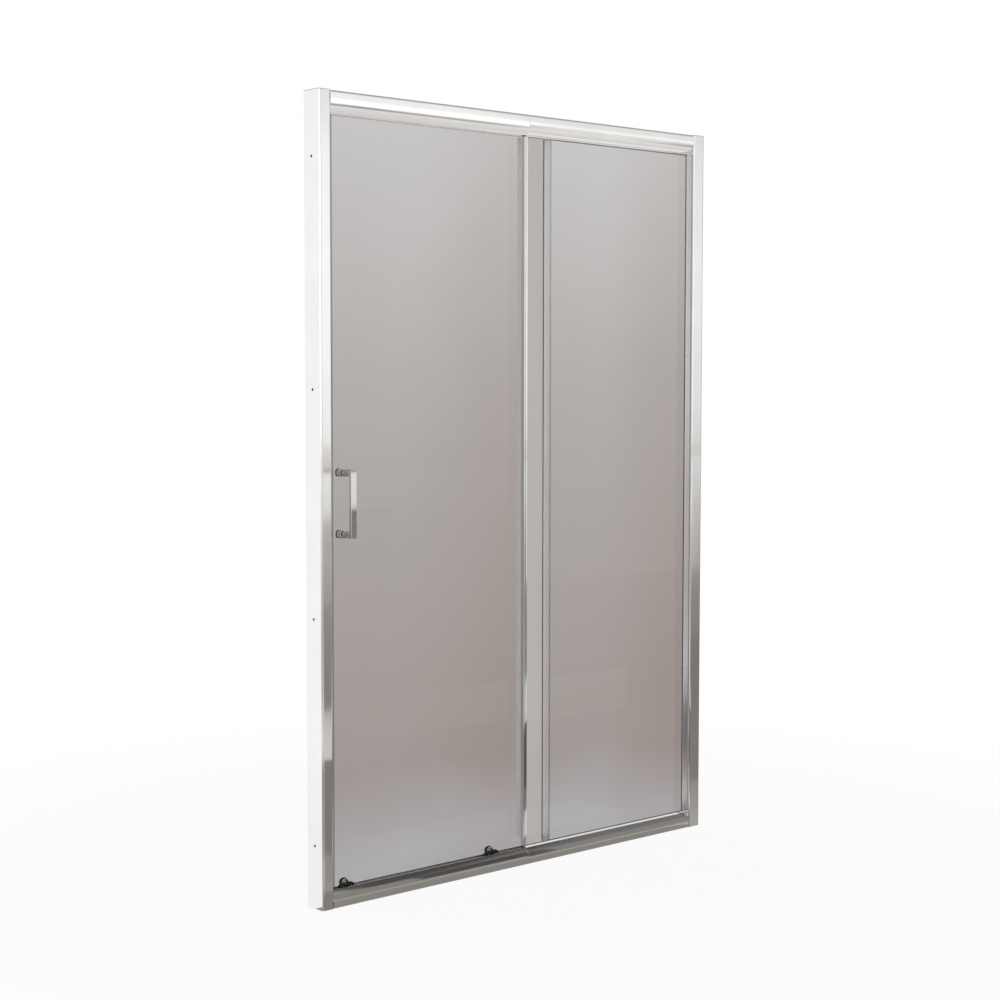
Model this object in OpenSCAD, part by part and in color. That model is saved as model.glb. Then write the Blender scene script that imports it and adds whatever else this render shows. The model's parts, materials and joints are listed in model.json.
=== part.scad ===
// Framed sliding shower door: one fixed pane and one sliding pane between two wall channels.
// Origin: middle of the bottom rail's underside. +X runs along the door to the fixed side,
// -Y faces the room (handle side), +Z is up. Millimetres.

/* [Overall size] */
// Width over both wall channels
total_w = 1300; // [1100:10:1560]
// Height over the channel caps
total_h = 1900; // [1500:10:2280]
// Depth of the jambs, front to back
frame_d = 60; // [58:1:80]

/* [Wall channels and jambs] */
// Reach of a channel's flanges from the wall
channel_w = 24; // [20:1:25]
// Wall thickness of the channel
channel_wall = 1.6; // [1.2:0.1:2]
// Distance of the left jamb's inner face from the wall
jamb_left_w = 33; // [31:1:40]
// Distance of the right jamb's inner face from the wall
jamb_right_w = 40; // [40:1:50]
// Wall thickness of a jamb
jamb_wall = 1.5; // [1.2:0.1:2]
// Radius of a jamb's front corner
jamb_corner_r = 4.5; // [3:0.5:8]
// Strip of the channel that shows between the left jamb and the wall
room_left = 6; // [3:1:10]
// Strip of the channel that shows between the right jamb and the wall
room_right = 3; // [2:1:10]
// Thickness of the plastic caps on top of the channels
cap_t = 1.5; // [1:0.1:3]
// Radius of the wall screw holes
wall_hole_r = 3.25; // [2.5:0.05:4]
// Height of the first and last wall screw from the channel's ends
wall_hole_end = 150; // [100:10:300]
// Height of the first and last side screw from the channel's ends
side_screw_end = 220; // [180:10:320]

/* [Rails] */
// Height of the top rail's cover
top_rail_h = 50; // [46:1:60]
// Height of the bottom rail's cover
bottom_rail_h = 42; // [40:1:50]
// Height of the straight front of the top cover
top_front_h = 32; // [28:1:34]
// Height of the straight front of the bottom cover
bottom_front_h = 23; // [18:1:28]
// Wall thickness of the rails
rail_wall = 1.8; // [1.5:0.1:2.2]
// Wall thickness of the clipped rail covers
cover_t = 1.6; // [1.2:0.1:2]
// How far the covers' fronts swell
crown = 1.3; // [0:0.1:2]
// How far the slope of the left covers runs back
left_slope_d = 9; // [6:1:12]
// Distance from the left wall to the seam between the covers
seam_x = 656; // [560:1:760]
// How far the top rail's web hangs below the cover
lip_drop = 2; // [1:0.5:4]

/* [Glass] */
// Thickness of both panes
glass_t = 5; // [4:0.5:6]
// Distance from the front plane to the fixed pane
fixed_y = 18.5; // [17:0.5:20]
// Gap from the fixed pane to the sliding pane
pane_gap = 21.5; // [21:0.5:24]
// How far the fixed pane stands in its grooves
groove_deep = 14; // [12:1:15]
// How far the sliding pane reaches past the seam
overlap = 107; // [80:1:140]
// Wall thickness of the glazing gaskets
gasket_t = 1.5; // [1:0.1:2]
// How much of the side gasket shows on the fixed pane
gasket_show = 9; // [1:1:14]

/* [Edge profiles] */
// Width of the profile on the fixed pane's free edge
fixed_edge_w = 11; // [9:0.5:14]
// Thickness of that profile
fixed_edge_d = 11.5; // [10:0.5:12]
// Width of the profile on the sliding pane's trailing edge
trail_w = 24; // [16:1:28]
// Width of the profile on the sliding pane's leading edge
lead_w = 14; // [10:1:18]
// Wall thickness of the edge profiles
edge_wall = 1.5; // [1:0.1:2]
// Thickness of each magnet strip
magnet_t = 2.6; // [2:0.1:4]

/* [Rollers] */
// Distance from the left wall to the first roller
roller_1_x = 93.5; // [90:0.5:140]
// Distance between the two rollers along a rail
roller_pitch = 462; // [380:1:480]
// Outer radius of a top wheel
top_wheel_r = 11.5; // [10:0.5:12]
// Distance between the two wheels of a top carriage
top_wheel_pitch = 32; // [28:1:36]
// Outer radius of a bottom wheel
bottom_wheel_r = 10; // [9:0.5:10.5]
// Distance between the two wheels of a bottom roller
bottom_wheel_pitch = 24; // [22:1:28]
// Thickness of every wheel
wheel_t = 7; // [6:0.5:8]
// Depth of a wheel's groove
groove_h = 2; // [1.5:0.1:2.5]
// Radius of the top axles
top_axle_r = 2.5; // [2:0.1:3]
// Radius of the bottom axles
bottom_axle_r = 2; // [1.5:0.1:2.5]
// Height of the bottom axles above the floor
bottom_axle_z = 37; // [35:0.5:38]
// Radius of the chrome release knob
knob_r = 9.5; // [8:0.5:10]
// Height of the knob's centre above the floor
knob_z = 45; // [44:0.5:47]
// How far the release lifts the bottom wheels
release_lift = 3.5; // [2.5:0.1:4]
// Radius of the bolts through the pane
bolt_r = 3; // [2.5:0.1:3.5]
// Radius of the roller holes in the pane
pane_hole_r = 7; // [6:0.5:8]

/* [Handle] */
// Distance from the left wall to the handle
handle_x = 88; // [78:1:110]
// Height of the handle's middle
handle_z = 949; // [800:1:1100]
// Distance between the handle's posts
handle_pitch = 145; // [120:1:250]
// Width of the handle bar
bar_w = 17; // [14:1:20]
// Thickness of the handle bar
bar_t = 7; // [5:0.5:9]
// Length of the bar past each post's centre
bar_end = 8.5; // [7:0.5:14]
// Corner radius of the handle bar
bar_corner_r = 4; // [1:0.5:6]
// Distance from the sliding pane to the back of the bar
stand_off = 48; // [40:1:70]
// Radius of the posts
post_r = 8.5; // [6:0.5:9]
// Radius of the collars at the pane
collar_r = 10; // [9:0.5:12]
// Length of the collars
collar_l = 14.5; // [8:0.5:18]
// Radius of the handle holes in the pane
handle_hole_r = 6; // [5:0.5:7]

/* [Hidden] */
$fn = 64;

// Clearances: between moving pieces, between seated pieces, and round a turning or fitted shaft
move_gap = 0.3;
seat_gap = 0.1;
bore_gap = 0.05;
// How far a cutting shape reaches past the piece that it cuts
past = 1;

// The frame, measured from the left wall, the front plane and the floor
frame_h = total_h - cap_t;
channel_y0 = jamb_wall + seat_gap;
channel_y1 = frame_d - channel_y0;
right_face_x = total_w - jamb_right_w;
cover_y0 = 0.6;
rail_y1 = frame_d - 1.7;
rail_x0 = jamb_left_w + seat_gap;
rail_x1 = right_face_x - seat_gap;
top_rail_z = frame_h - top_rail_h;
lip_y = 6;

// Panes
fixed_y1 = fixed_y + glass_t;
slide_y = fixed_y1 + pane_gap;
slide_y1 = slide_y + glass_t;
web_y = fixed_y1 + gasket_t;
web_y1 = web_y + rail_wall;
fixed_z0 = 26;
fixed_z1 = top_rail_z + groove_deep;
fixed_edge_x = seam_x - 6;
fixed_x0 = fixed_edge_x + edge_wall + 1.5;
fixed_x1 = right_face_x + groove_deep - 2;
lead_x = jamb_left_w + 2 * magnet_t + move_gap;
slide_x0 = lead_x + edge_wall + 1.5;
slide_x1 = seam_x + overlap;
slide_z0 = 20;
slide_z1 = frame_h - 14;

// Running tracks: the wheels sit between the web and the sliding pane
track_y = web_y1 + 1.7 + wheel_t / 2;
wheel_y0 = track_y - wheel_t / 2;
wheel_y1 = track_y + wheel_t / 2;
rib_top_w = 1.4;
rib_w = 2.6;
shelf_z = top_rail_z + 8;
shelf_y1 = slide_y - 4;
top_rib_z = shelf_z + rail_wall + 3.2;
top_axle_z = top_rib_z + top_wheel_r - groove_h + move_gap;
bottom_rib_z = bottom_axle_z - (bottom_wheel_r - groove_h + move_gap);
roller_x = [roller_1_x, roller_1_x + roller_pitch];
washer_t = 1;
washer_r = 9;
bolt_head_r = 8;
bolt_head_t = 3.4;

// Bottom roller stack, from the pane forwards: washer, base plate, sliding carrier, knob
base_y1 = slide_y - washer_t;
base_t = 1.7;
base_y0 = base_y1 - base_t;
base_r = knob_r + 2;
carrier_y1 = base_y0 - move_gap;
carrier_t = 2.6;
carrier_y0 = carrier_y1 - carrier_t;
knob_y0 = wheel_y1 + 0.4;
tab_w = 17;
tab_z0 = bottom_axle_z + 3;
tab_z1 = knob_z + 7;
pocket_w = 5.6;
pocket_z0 = tab_z0 + 1;
pocket_z1 = knob_z + 5.5;
nub_z0 = knob_z + 3;
nub_h = 2;
spring_r = 2;
spring_wire = 0.6;

// Release springs: a wire of six sides on a helix
spring_turns = 5;
spring_steps = 12;
spring_z0 = pocket_z0 + seat_gap + spring_wire / 2;
spring_z1 = nub_z0 - seat_gap - spring_wire / 2;

// Screws: wall holes, side screws at the back and corner screws into the rails' ports
wall_hole_zs = [for (i = [0:3]) wall_hole_end + i * (frame_h - 2 * wall_hole_end) / 3];
side_screw_zs = [side_screw_end, frame_h / 2, frame_h - side_screw_end];
side_screw_x = channel_w - 7;
side_hole_r = 2;
side_head_r = 3.6;
side_head_t = 1.6;
side_cap_r = 5.5;
side_cap_t = 2.8;
corner_r = 1.9;
corner_head_r = 3.4;
corner_head_t = 2.2;
corner_bite = 18;
port_r = 3.6;
port_in = 3.2;
corner_points = [
    [web_y1 + port_in + 0.2, frame_h - rail_wall - port_in],
    [rail_y1 - rail_wall - port_in, frame_h - rail_wall - port_in],
    [web_y1 + port_in + 0.2, rail_wall + port_in],
    [rail_y1 - rail_wall - port_in, rail_wall + port_in]];

// Covers: legs that clip over hooks on the webs. The left slopes end in front of the web,
// the right ones meet the pane's gasket
top_leg_z = frame_h - 6.5;
low_leg_z = top_rail_z + 22;
foot_leg_z = rail_wall + 8;
hook_l = 2.5;
ledge_z = fixed_z0 - gasket_t;
lip_gap = 0.8;
return_h = 8;
left_top_slope = top_rail_h - top_front_h;
left_bottom_slope = bottom_rail_h - bottom_front_h;
right_slope_d = fixed_y - gasket_t - cover_t - cover_y0 - crown - seat_gap;
seam_gap = 0.4;

// Upright edges: the fixed pane's profile, the sliding pane's profiles and the magnets
edge_z0 = bottom_rail_h + 2 + move_gap;
edge_z1 = top_rail_z - lip_drop - move_gap;
edge_lip = 0.5;
edge_rebate = 1;
trail_back = 4;
shadow_w = 1.6;
profile_z0 = bottom_rail_h - 4;
profile_z1 = top_rail_z - 1;
magnet_w = 8;
magnet_y = slide_y + glass_t / 2 - magnet_w / 2;
magnet_z0 = bottom_rail_h + 4;
magnet_z1 = top_rail_z - lip_drop - 4;

// Travel: from the closed door to the stop beside the second carriage
stop_l = 16;
stop_h = 14;
carriage_rim = 0.5;
carriage_reach = top_wheel_pitch / 2 + top_wheel_r + carriage_rim;
open_gap = 9;
travel = right_face_x - (slide_x1 + trail_back) - open_gap;

// Handle
bar_y1 = slide_y - stand_off;
bar_y0 = bar_y1 - bar_t;
collar_y0 = slide_y - washer_t - collar_l;
ring_t = 2;
post_z = [handle_z - handle_pitch / 2, handle_z + handle_pitch / 2];

// Colours
silver = [0.80, 0.80, 0.81];
chrome = [0.86, 0.86, 0.87];
pane_tint = [0.72, 0.71, 0.70, 0.45];
seal_grey = [0.55, 0.54, 0.53];
black = [0.08, 0.08, 0.09];
nylon = [0.16, 0.16, 0.17];
steel = [0.62, 0.62, 0.64];

// Puts a piece measured from the left wall and the front plane into the model's frame
module in_frame() {
    translate([-total_w / 2, -frame_d / 2, 0]) children();
}

// Mirrors a piece measured from the left wall to the right wall
module at_right_wall() {
    translate([total_w, 0, 0]) mirror([1, 0, 0]) children();
}

// Runs a section drawn as (depth, height) along X
module along_x(x0, x1) {
    translate([x0, 0, 0]) rotate([90, 0, 90]) linear_extrude(x1 - x0) children();
}

// A cylinder whose axis runs along Y
module rod_y(x, y0, y1, z, r) {
    translate([x, y0, z]) rotate([-90, 0, 0]) cylinder(h = y1 - y0, r = r);
}

// A cylinder whose axis runs along X
module rod_x(x0, x1, y, z, r) {
    translate([x0, y, z]) rotate([0, 90, 0]) cylinder(h = x1 - x0, r = r);
}

// A rectangle given by its two corners
module rect(a0, b0, a1, b1) {
    translate([a0, b0]) square([a1 - a0, b1 - b0]);
}

// A block given by its two corners
module block(a, b) {
    translate(a) cube(b - a);
}

// A rectangle given by its two corners, with the corner at (a1, b0) rounded
module soft_rect(a0, b0, a1, b1, r) {
    rect(a0, b0, a1 - r, b1);
    rect(a0, b0 + r, a1, b1);
    translate([a1 - r, b0 + r]) circle(r = r);
}

// Wall channel: a U that opens away from the wall
module channel_body() {
    difference() {
        linear_extrude(frame_h) difference() {
            rect(0, channel_y0, channel_w, channel_y1);
            rect(channel_wall, channel_y0 + channel_wall, channel_w + past, channel_y1 - channel_wall);
        }
        for (z = wall_hole_zs) rod_x(-past, channel_wall + past, frame_d / 2, z, wall_hole_r);
        for (z = side_screw_zs) {
            rod_y(side_screw_x, channel_y1 - channel_wall - past, channel_y1 + past, z, side_hole_r);
        }
    }
}

module wall_channel_left() {
    color(silver) in_frame() channel_body();
}

module wall_channel_right() {
    color(silver) in_frame() at_right_wall() channel_body();
}

// Jamb: a U that slides over the channel and opens towards the wall; w is its inner face's
// distance from the wall, room the strip of channel that it leaves open
module jamb_section(w, room) {
    difference() {
        soft_rect(room, 0, w, frame_d, jamb_corner_r);
        soft_rect(room - past, jamb_wall, w - jamb_wall, frame_d - jamb_wall, jamb_corner_r - jamb_wall);
    }
}

// Holes for the corner screws and the side screws
module jamb_holes(w) {
    for (p = corner_points) rod_x(w - jamb_wall - past, w + past, p[0], p[1], corner_r + bore_gap);
    for (z = side_screw_zs) rod_y(side_screw_x, frame_d - jamb_wall - past, frame_d + past, z, side_hole_r);
}

module jamb_left() {
    color(silver) in_frame() difference() {
        linear_extrude(frame_h) jamb_section(jamb_left_w, room_left);
        jamb_holes(jamb_left_w);
    }
}

// The right jamb also holds the fixed pane in a groove in its inner face
module jamb_right() {
    groove_x0 = jamb_right_w - groove_deep;
    color(silver) in_frame() at_right_wall() difference() {
        linear_extrude(frame_h) difference() {
            union() {
                jamb_section(jamb_right_w, room_right);
                rect(groove_x0, fixed_y - gasket_t - jamb_wall, jamb_right_w, web_y + jamb_wall);
            }
            rect(groove_x0 + jamb_wall, fixed_y - gasket_t, jamb_right_w + past, web_y);
        }
        jamb_holes(jamb_right_w);
    }
}

// Plastic cap over the open tops of a channel and its jamb
module channel_cap(w) {
    translate([0, 0, frame_h]) linear_extrude(cap_t) soft_rect(0, 0, w, frame_d, jamb_corner_r);
}

module channel_caps() {
    color(silver) in_frame() {
        channel_cap(jamb_left_w);
        at_right_wall() channel_cap(jamb_right_w);
    }
}

// One corner screw through a jamb whose inner face is at w, into a rail
module corner_screw(p, w) {
    rod_x(w - jamb_wall - corner_head_t, w - jamb_wall, p[0], p[1], corner_head_r);
    rod_x(w - jamb_wall - past, w + corner_bite, p[0], p[1], corner_r);
}

module corner_screws() {
    color(steel) in_frame() for (p = corner_points) {
        corner_screw(p, jamb_left_w);
        at_right_wall() corner_screw(p, jamb_right_w);
    }
}

// One side screw: it joins the rear flanges of the jamb and the channel
module side_screw(z) {
    rod_y(side_screw_x, channel_y1 - channel_wall - 3, frame_d + past / 2, z, side_hole_r - bore_gap);
    rod_y(side_screw_x, frame_d, frame_d + side_head_t, z, side_head_r);
}

module channel_screws() {
    color(steel) in_frame() for (z = side_screw_zs) {
        side_screw(z);
        at_right_wall() side_screw(z);
    }
}

// Caps over the side screws
module side_cap(z) {
    difference() {
        rod_y(side_screw_x, frame_d, frame_d + side_cap_t, z, side_cap_r);
        rod_y(side_screw_x, frame_d - past, frame_d + side_head_t + seat_gap, z,
            side_head_r + seat_gap);
    }
}

module screw_caps() {
    color(silver) in_frame() for (z = side_screw_zs) {
        side_cap(z);
        at_right_wall() side_cap(z);
    }
}

// Outline of a track rib: upright with a narrowed top
module rib_section(z0, z1) {
    polygon([[track_y - rib_w / 2, z0], [track_y + rib_w / 2, z0],
        [track_y + rib_w / 2, z1 - 0.9], [track_y + rib_top_w / 2, z1],
        [track_y - rib_top_w / 2, z1], [track_y - rib_w / 2, z1 - 0.9]]);
}

// Boss that takes a corner screw
module screw_port(p) {
    translate(p) circle(r = port_r);
}

// Bores in both ends of a rail for those of its corner screws
module port_bores(numbers) {
    for (x = [rail_x0 - past, rail_x1 - corner_bite]) for (i = numbers) {
        rod_x(x, x + corner_bite + past, corner_points[i][0], corner_points[i][1], corner_r + bore_gap);
    }
}

// Hook on a web that a cover's leg clips over
module hook(z) {
    rect(web_y - hook_l, z, web_y + past, z + cover_t);
}

// Top rail: web, shelf with the upper track rib, rear skirt and top wall
module top_rail() {
    color(silver) in_frame() difference() {
        along_x(rail_x0, rail_x1) union() {
            rect(lip_y, frame_h - rail_wall, rail_y1, frame_h);
            rect(web_y, top_rail_z - lip_drop, web_y1, frame_h);
            rect(rail_y1 - rail_wall, top_rail_z + 2, rail_y1, frame_h);
            rect(web_y, shelf_z, shelf_y1, shelf_z + rail_wall);
            rib_section(shelf_z, top_rib_z);
            hook(top_leg_z + cover_t + seat_gap);
            hook(low_leg_z - cover_t - seat_gap);
            screw_port(corner_points[0]);
            screw_port(corner_points[1]);
        }
        port_bores([0, 1]);
    }
}

// Bottom rail: floor, web with the pane's ledge, lower track rib and rear upstand
module bottom_rail() {
    color(silver) in_frame() difference() {
        along_x(rail_x0, rail_x1) union() {
            rect(lip_y, 0, rail_y1, rail_wall);
            rect(web_y, 0, web_y1, bottom_rail_h - 6);
            rect(fixed_y - gasket_t, ledge_z - rail_wall, web_y + past, ledge_z);
            hook(foot_leg_z + cover_t + seat_gap);
            rect(rail_y1 - rail_wall, 0, rail_y1, bottom_rail_h - 8);
            rib_section(0.5, bottom_rib_z);
            screw_port(corner_points[2]);
            screw_port(corner_points[3]);
        }
        port_bores([2, 3]);
    }
}

// Front curve of a cover, from its flat end to the edge of its slope:
// a shallow parabola over the front, then a curve that leans back more and more
function front_curve(front_h, slope_h, slope_d) = concat(
    [for (i = [0:10]) let (u = i / 5 - 1) [cover_y0 + crown * u * u, front_h * i / 10]],
    [for (i = [1:10]) let (s = i / 10)
        [cover_y0 + crown + slope_d * (0.55 * s + 0.45 * s * s), front_h + slope_h * s]]);

// The same curve hung from the frame's top edge, from its lower end upwards
function hung_curve(front_h, slope_h, slope_d) = let (c = front_curve(front_h, slope_h, slope_d))
    [for (i = [len(c) - 1:-1:0]) [c[i][0], frame_h - c[i][1]]];

// Cover skin: a curve that climbs, with the wall thickness behind it
module cover_skin(outer) {
    inner = [for (p = outer) p + [cover_t, 0]];
    polygon(concat(inner, [for (i = [len(outer) - 1:-1:0]) outer[i]]));
}

// Top cover section: skin, top lip, two legs to the web and, if closed, a flat return
module top_cover(slope_h, slope_d, closed) {
    cover_skin(hung_curve(top_front_h, slope_h, slope_d));
    rect(cover_y0 + crown + lip_gap, frame_h - cover_t, lip_y - seat_gap, frame_h);
    rect(cover_y0 + 1, top_leg_z, web_y - seat_gap, top_leg_z + cover_t);
    rect(cover_y0 + 1, low_leg_z, web_y - seat_gap, low_leg_z + cover_t);
    if (closed) {
        edge_z = frame_h - top_front_h - slope_h;
        rect(cover_y0 + crown + slope_d + 0.6, edge_z, web_y - seat_gap, edge_z + cover_t);
    }
}

// Bottom cover section: skin, foot lip, one leg and, if closed, a short return
module bottom_cover(slope_h, slope_d, closed) {
    cover_skin(front_curve(bottom_front_h, slope_h, slope_d));
    rect(cover_y0 + crown + lip_gap, 0, lip_y - seat_gap, cover_t);
    rect(cover_y0 + 1, foot_leg_z, web_y - seat_gap, foot_leg_z + cover_t);
    if (closed) {
        edge_z = bottom_front_h + slope_h - cover_t;
        edge_y = cover_y0 + crown + slope_d;
        rect(edge_y + 0.6, edge_z - return_h, edge_y + cover_t, edge_z + 1);
    }
}

// The left top cover is notched where the fixed pane's corner passes its return
module top_cover_left() {
    color(chrome) in_frame() difference() {
        along_x(rail_x0, seam_x - seam_gap / 2) top_cover(left_top_slope, left_slope_d, true);
        block([fixed_edge_x - 1, fixed_y - gasket_t, top_rail_z - 1],
            [seam_x + 1, web_y + 1, fixed_z1 + 2]);
    }
}

module top_cover_right() {
    color(chrome) in_frame() along_x(seam_x + seam_gap / 2, rail_x1)
        top_cover(left_top_slope + 1.5, right_slope_d, false);
}

module bottom_cover_left() {
    color(chrome) in_frame() along_x(rail_x0, seam_x - seam_gap / 2)
        bottom_cover(left_bottom_slope, left_slope_d, true);
}

module bottom_cover_right() {
    color(chrome) in_frame() along_x(seam_x + seam_gap / 2, rail_x1)
        bottom_cover(left_bottom_slope + 2, right_slope_d, false);
}

// Rubber stops on the upper shelf that end the door's travel
module travel_stops() {
    left_x = roller_x[0] - carriage_reach - move_gap - stop_l;
    right_x = roller_x[1] + carriage_reach + travel + move_gap;
    color(black) in_frame() for (x = [left_x, right_x]) {
        block([x, wheel_y1 + 1.5, shelf_z + rail_wall],
            [x + stop_l, shelf_y1 + 2, shelf_z + rail_wall + stop_h]);
    }
}

// Magnet strip on the left jamb
module strike_magnet() {
    color(seal_grey) in_frame() block([jamb_left_w, magnet_y, magnet_z0],
        [jamb_left_w + magnet_t, magnet_y + magnet_w, magnet_z1]);
}

module fixed_glass() {
    color(pane_tint) in_frame() block([fixed_x0, fixed_y, fixed_z0], [fixed_x1, fixed_y1, fixed_z1]);
}

// Gasket along the top or bottom edge of the fixed pane: a U from the edge at z to its open end
module edge_gasket(z, open_z) {
    outer_z = z < open_z ? z - gasket_t : z + gasket_t;
    color(seal_grey) in_frame() difference() {
        gasket_bar(fixed_y - gasket_t, web_y, min(outer_z, open_z), max(outer_z, open_z));
        gasket_bar(fixed_y, fixed_y1, min(z, open_z + z - outer_z), max(z, open_z + z - outer_z));
    }
}

module gasket_bar(y0, y1, z0, z1) {
    x0 = fixed_edge_x + fixed_edge_w + 1;
    block([x0, y0, z0], [right_face_x - gasket_show - move_gap, y1, z1]);
}

module glazing_gasket_top() {
    edge_gasket(fixed_z1, fixed_z1 - groove_deep + 1);
}

module glazing_gasket_bottom() {
    edge_gasket(fixed_z0, fixed_z0 + groove_deep - 1);
}

module glazing_gasket_side() {
    x0 = right_face_x - gasket_show;
    color(seal_grey) in_frame() translate([0, 0, fixed_z0]) linear_extrude(fixed_z1 - fixed_z0) difference() {
        rect(x0, fixed_y - gasket_t, fixed_x1 + gasket_t / 3, web_y);
        rect(x0 - past, fixed_y, fixed_x1, fixed_y1);
    }
}

// Profile on the free edge of the fixed pane: a deep U with a rebated front corner
module fixed_edge_profile() {
    y0 = fixed_y + glass_t / 2 - fixed_edge_d / 2 - edge_lip;
    x0 = fixed_edge_x;
    color(silver) in_frame() translate([0, 0, edge_z0]) linear_extrude(edge_z1 - edge_z0) difference() {
        rect(x0, y0, x0 + fixed_edge_w, y0 + fixed_edge_d);
        rect(fixed_x0, fixed_y - bore_gap, x0 + fixed_edge_w + past, fixed_y1 + bore_gap);
        rect(x0 - past, y0 - past, x0 + edge_rebate, y0 + edge_rebate);
    }
}

// Soft strip between that profile and the sliding pane
module fixed_edge_seal() {
    y0 = fixed_y + glass_t / 2 + fixed_edge_d / 2 - edge_lip;
    x0 = fixed_edge_x + 2;
    z0 = knob_z + base_r + release_lift + 6;
    z1 = top_rail_z - lip_drop - 2;
    color(seal_grey) in_frame() translate([0, 0, z0]) linear_extrude(z1 - z0)
        polygon([[x0, y0], [x0 + 5, y0], [x0 + 5, y0 + 2], [x0 + 3, y0 + 2.5],
            [x0 + 1.2, slide_y - 0.5], [x0, slide_y - 0.5], [x0, y0 + 4]]);
}

// Sliding pane with its holes for the rollers and the handle
module sliding_glass() {
    color(pane_tint) in_frame() difference() {
        block([slide_x0, slide_y, slide_z0], [slide_x1, slide_y1, slide_z1]);
        for (x = roller_x) {
            rod_y(x, slide_y - 1, slide_y1 + 1, top_axle_z, pane_hole_r);
            rod_y(x, slide_y - 1, slide_y1 + 1, knob_z, pane_hole_r);
        }
        for (z = post_z) rod_y(handle_x, slide_y - 1, slide_y1 + 1, z, handle_hole_r);
    }
}

// Edge profile of the sliding pane: a U in plan that opens along +X
module pane_edge(w, glass_gap) {
    difference() {
        rect(0, slide_y - edge_wall - edge_lip, w, slide_y1 + edge_wall + edge_lip);
        rect(glass_gap, slide_y - bore_gap, w + past, slide_y1 + bore_gap);
    }
}

module leading_profile() {
    color(silver) in_frame() translate([lead_x, 0, profile_z0])
        linear_extrude(profile_z1 - profile_z0) pane_edge(lead_w, slide_x0 - lead_x);
}

// Magnet strip that the leading profile carries
module leading_magnet() {
    color(seal_grey) in_frame() block([lead_x - magnet_t, magnet_y, magnet_z0],
        [lead_x, magnet_y + magnet_w, magnet_z1]);
}

// Trailing profile, with the shadow groove down its front
module trailing_profile() {
    shadow_x = trail_w * 0.55;
    color(silver) in_frame() translate([slide_x1 + trail_back, 0, profile_z0]) mirror([1, 0, 0])
        linear_extrude(profile_z1 - profile_z0) difference() {
            pane_edge(trail_w, trail_back);
            rect(shadow_x, slide_y - edge_wall - past, shadow_x + shadow_w, slide_y - edge_wall);
        }
}

// Grooved wheel about the Y axis, centred on the origin
module wheel(r, axle_r) {
    rotate([-90, 0, 0]) rotate_extrude() difference() {
        rect(axle_r + bore_gap, -wheel_t / 2, r, wheel_t / 2);
        polygon([[r - groove_h, -rib_top_w / 2 - 0.5], [r + 0.1, -rib_w / 2 - 0.6],
            [r + 0.1, rib_w / 2 + 0.6], [r - groove_h, rib_top_w / 2 + 0.5]]);
        rect(axle_r + 1.4, wheel_t / 2 - 0.8, r - groove_h - 1.8, wheel_t / 2 + 1);
    }
}

// Wheel i of the top row and of the bottom row
module top_wheel(i) {
    x = roller_x[floor(i / 2)] + (i % 2 - 0.5) * top_wheel_pitch;
    color(nylon) in_frame() translate([x, track_y, top_axle_z]) wheel(top_wheel_r, top_axle_r);
}

module bottom_wheel(i) {
    x = roller_x[floor(i / 2)] + (i % 2 - 0.5) * bottom_wheel_pitch;
    color(black) in_frame() translate([x, track_y, bottom_axle_z]) wheel(bottom_wheel_r, bottom_axle_r);
}

// Top carriage: a bar behind the two wheels, bored for the axles and the bolt
module top_carriage(x) {
    y0 = wheel_y1 + 0.9;
    y1 = slide_y - washer_t;
    half = top_wheel_pitch / 2;
    color(black) in_frame() difference() {
        union() {
            block([x - half, y0, top_axle_z - 9], [x + half, y1, top_axle_z + 9]);
            for (s = [-half, half]) {
                rod_y(x + s, y0, y1, top_axle_z, top_wheel_r + carriage_rim);
                rod_y(x + s, wheel_y1 + move_gap, y1, top_axle_z, top_axle_r + 1.6);
            }
        }
        for (s = [-half, half]) rod_y(x + s, y0 - 2, y1 + 1, top_axle_z, top_axle_r + bore_gap / 2);
        rod_y(x, y0 - 1, y1 + 1, top_axle_z, bolt_r + bore_gap / 2);
    }
}

// Axle pin with a flat head in front of its wheel
module axle_pin(x, z, r, y1) {
    rod_y(x, wheel_y0 - move_gap - 0.8, wheel_y0 - move_gap, z, r + 1.2);
    rod_y(x, wheel_y0 - move_gap - 0.4, y1, z, r);
}

module top_axles() {
    color(steel) in_frame() for (x = roller_x) for (s = [-0.5, 0.5]) {
        axle_pin(x + s * top_wheel_pitch, top_axle_z, top_axle_r, slide_y - washer_t - 0.5);
    }
}

// Eccentric bushes that set the pane's height on the top carriages
module eccentric_bushes() {
    color(steel) in_frame() for (x = roller_x) difference() {
        rod_y(x, slide_y, slide_y1, top_axle_z, pane_hole_r - seat_gap);
        rod_y(x, slide_y - 1, slide_y1 + 1, top_axle_z, bolt_r + bore_gap / 2);
        rod_y(x + 4.9, slide_y1 - 1.2, slide_y1 + 1, top_axle_z, 1);
    }
}

// One bolt from behind the pane; its front end is at y0
module roller_bolt(x, z, y0) {
    difference() {
        union() {
            rod_y(x, y0, slide_y1 + washer_t + 1, z, bolt_r);
            rod_y(x, slide_y1 + washer_t, slide_y1 + washer_t + bolt_head_t, z, bolt_head_r);
        }
        translate([x, slide_y1 + washer_t + bolt_head_t - 1.6, z]) rotate([-90, 0, 0])
            cylinder(h = 3, r = 2.9, $fn = 6);
    }
}

module roller_bolts() {
    color(chrome) in_frame() for (x = roller_x) {
        roller_bolt(x, top_axle_z, wheel_y1 + 1.4);
        roller_bolt(x, knob_z, base_y0 + 0.2);
    }
}

// Soft washers on both sides of the pane at each roller
module washer(x, z, y0) {
    difference() {
        rod_y(x, y0, y0 + washer_t, z, washer_r);
        rod_y(x, y0 - 1, y0 + washer_t + 1, z, bolt_r + bore_gap / 2);
    }
}

module glass_washers() {
    color(black) in_frame() for (x = roller_x) for (z = [top_axle_z, knob_z]) {
        for (y0 = [slide_y - washer_t, slide_y1]) washer(x, z, y0);
    }
}

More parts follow.
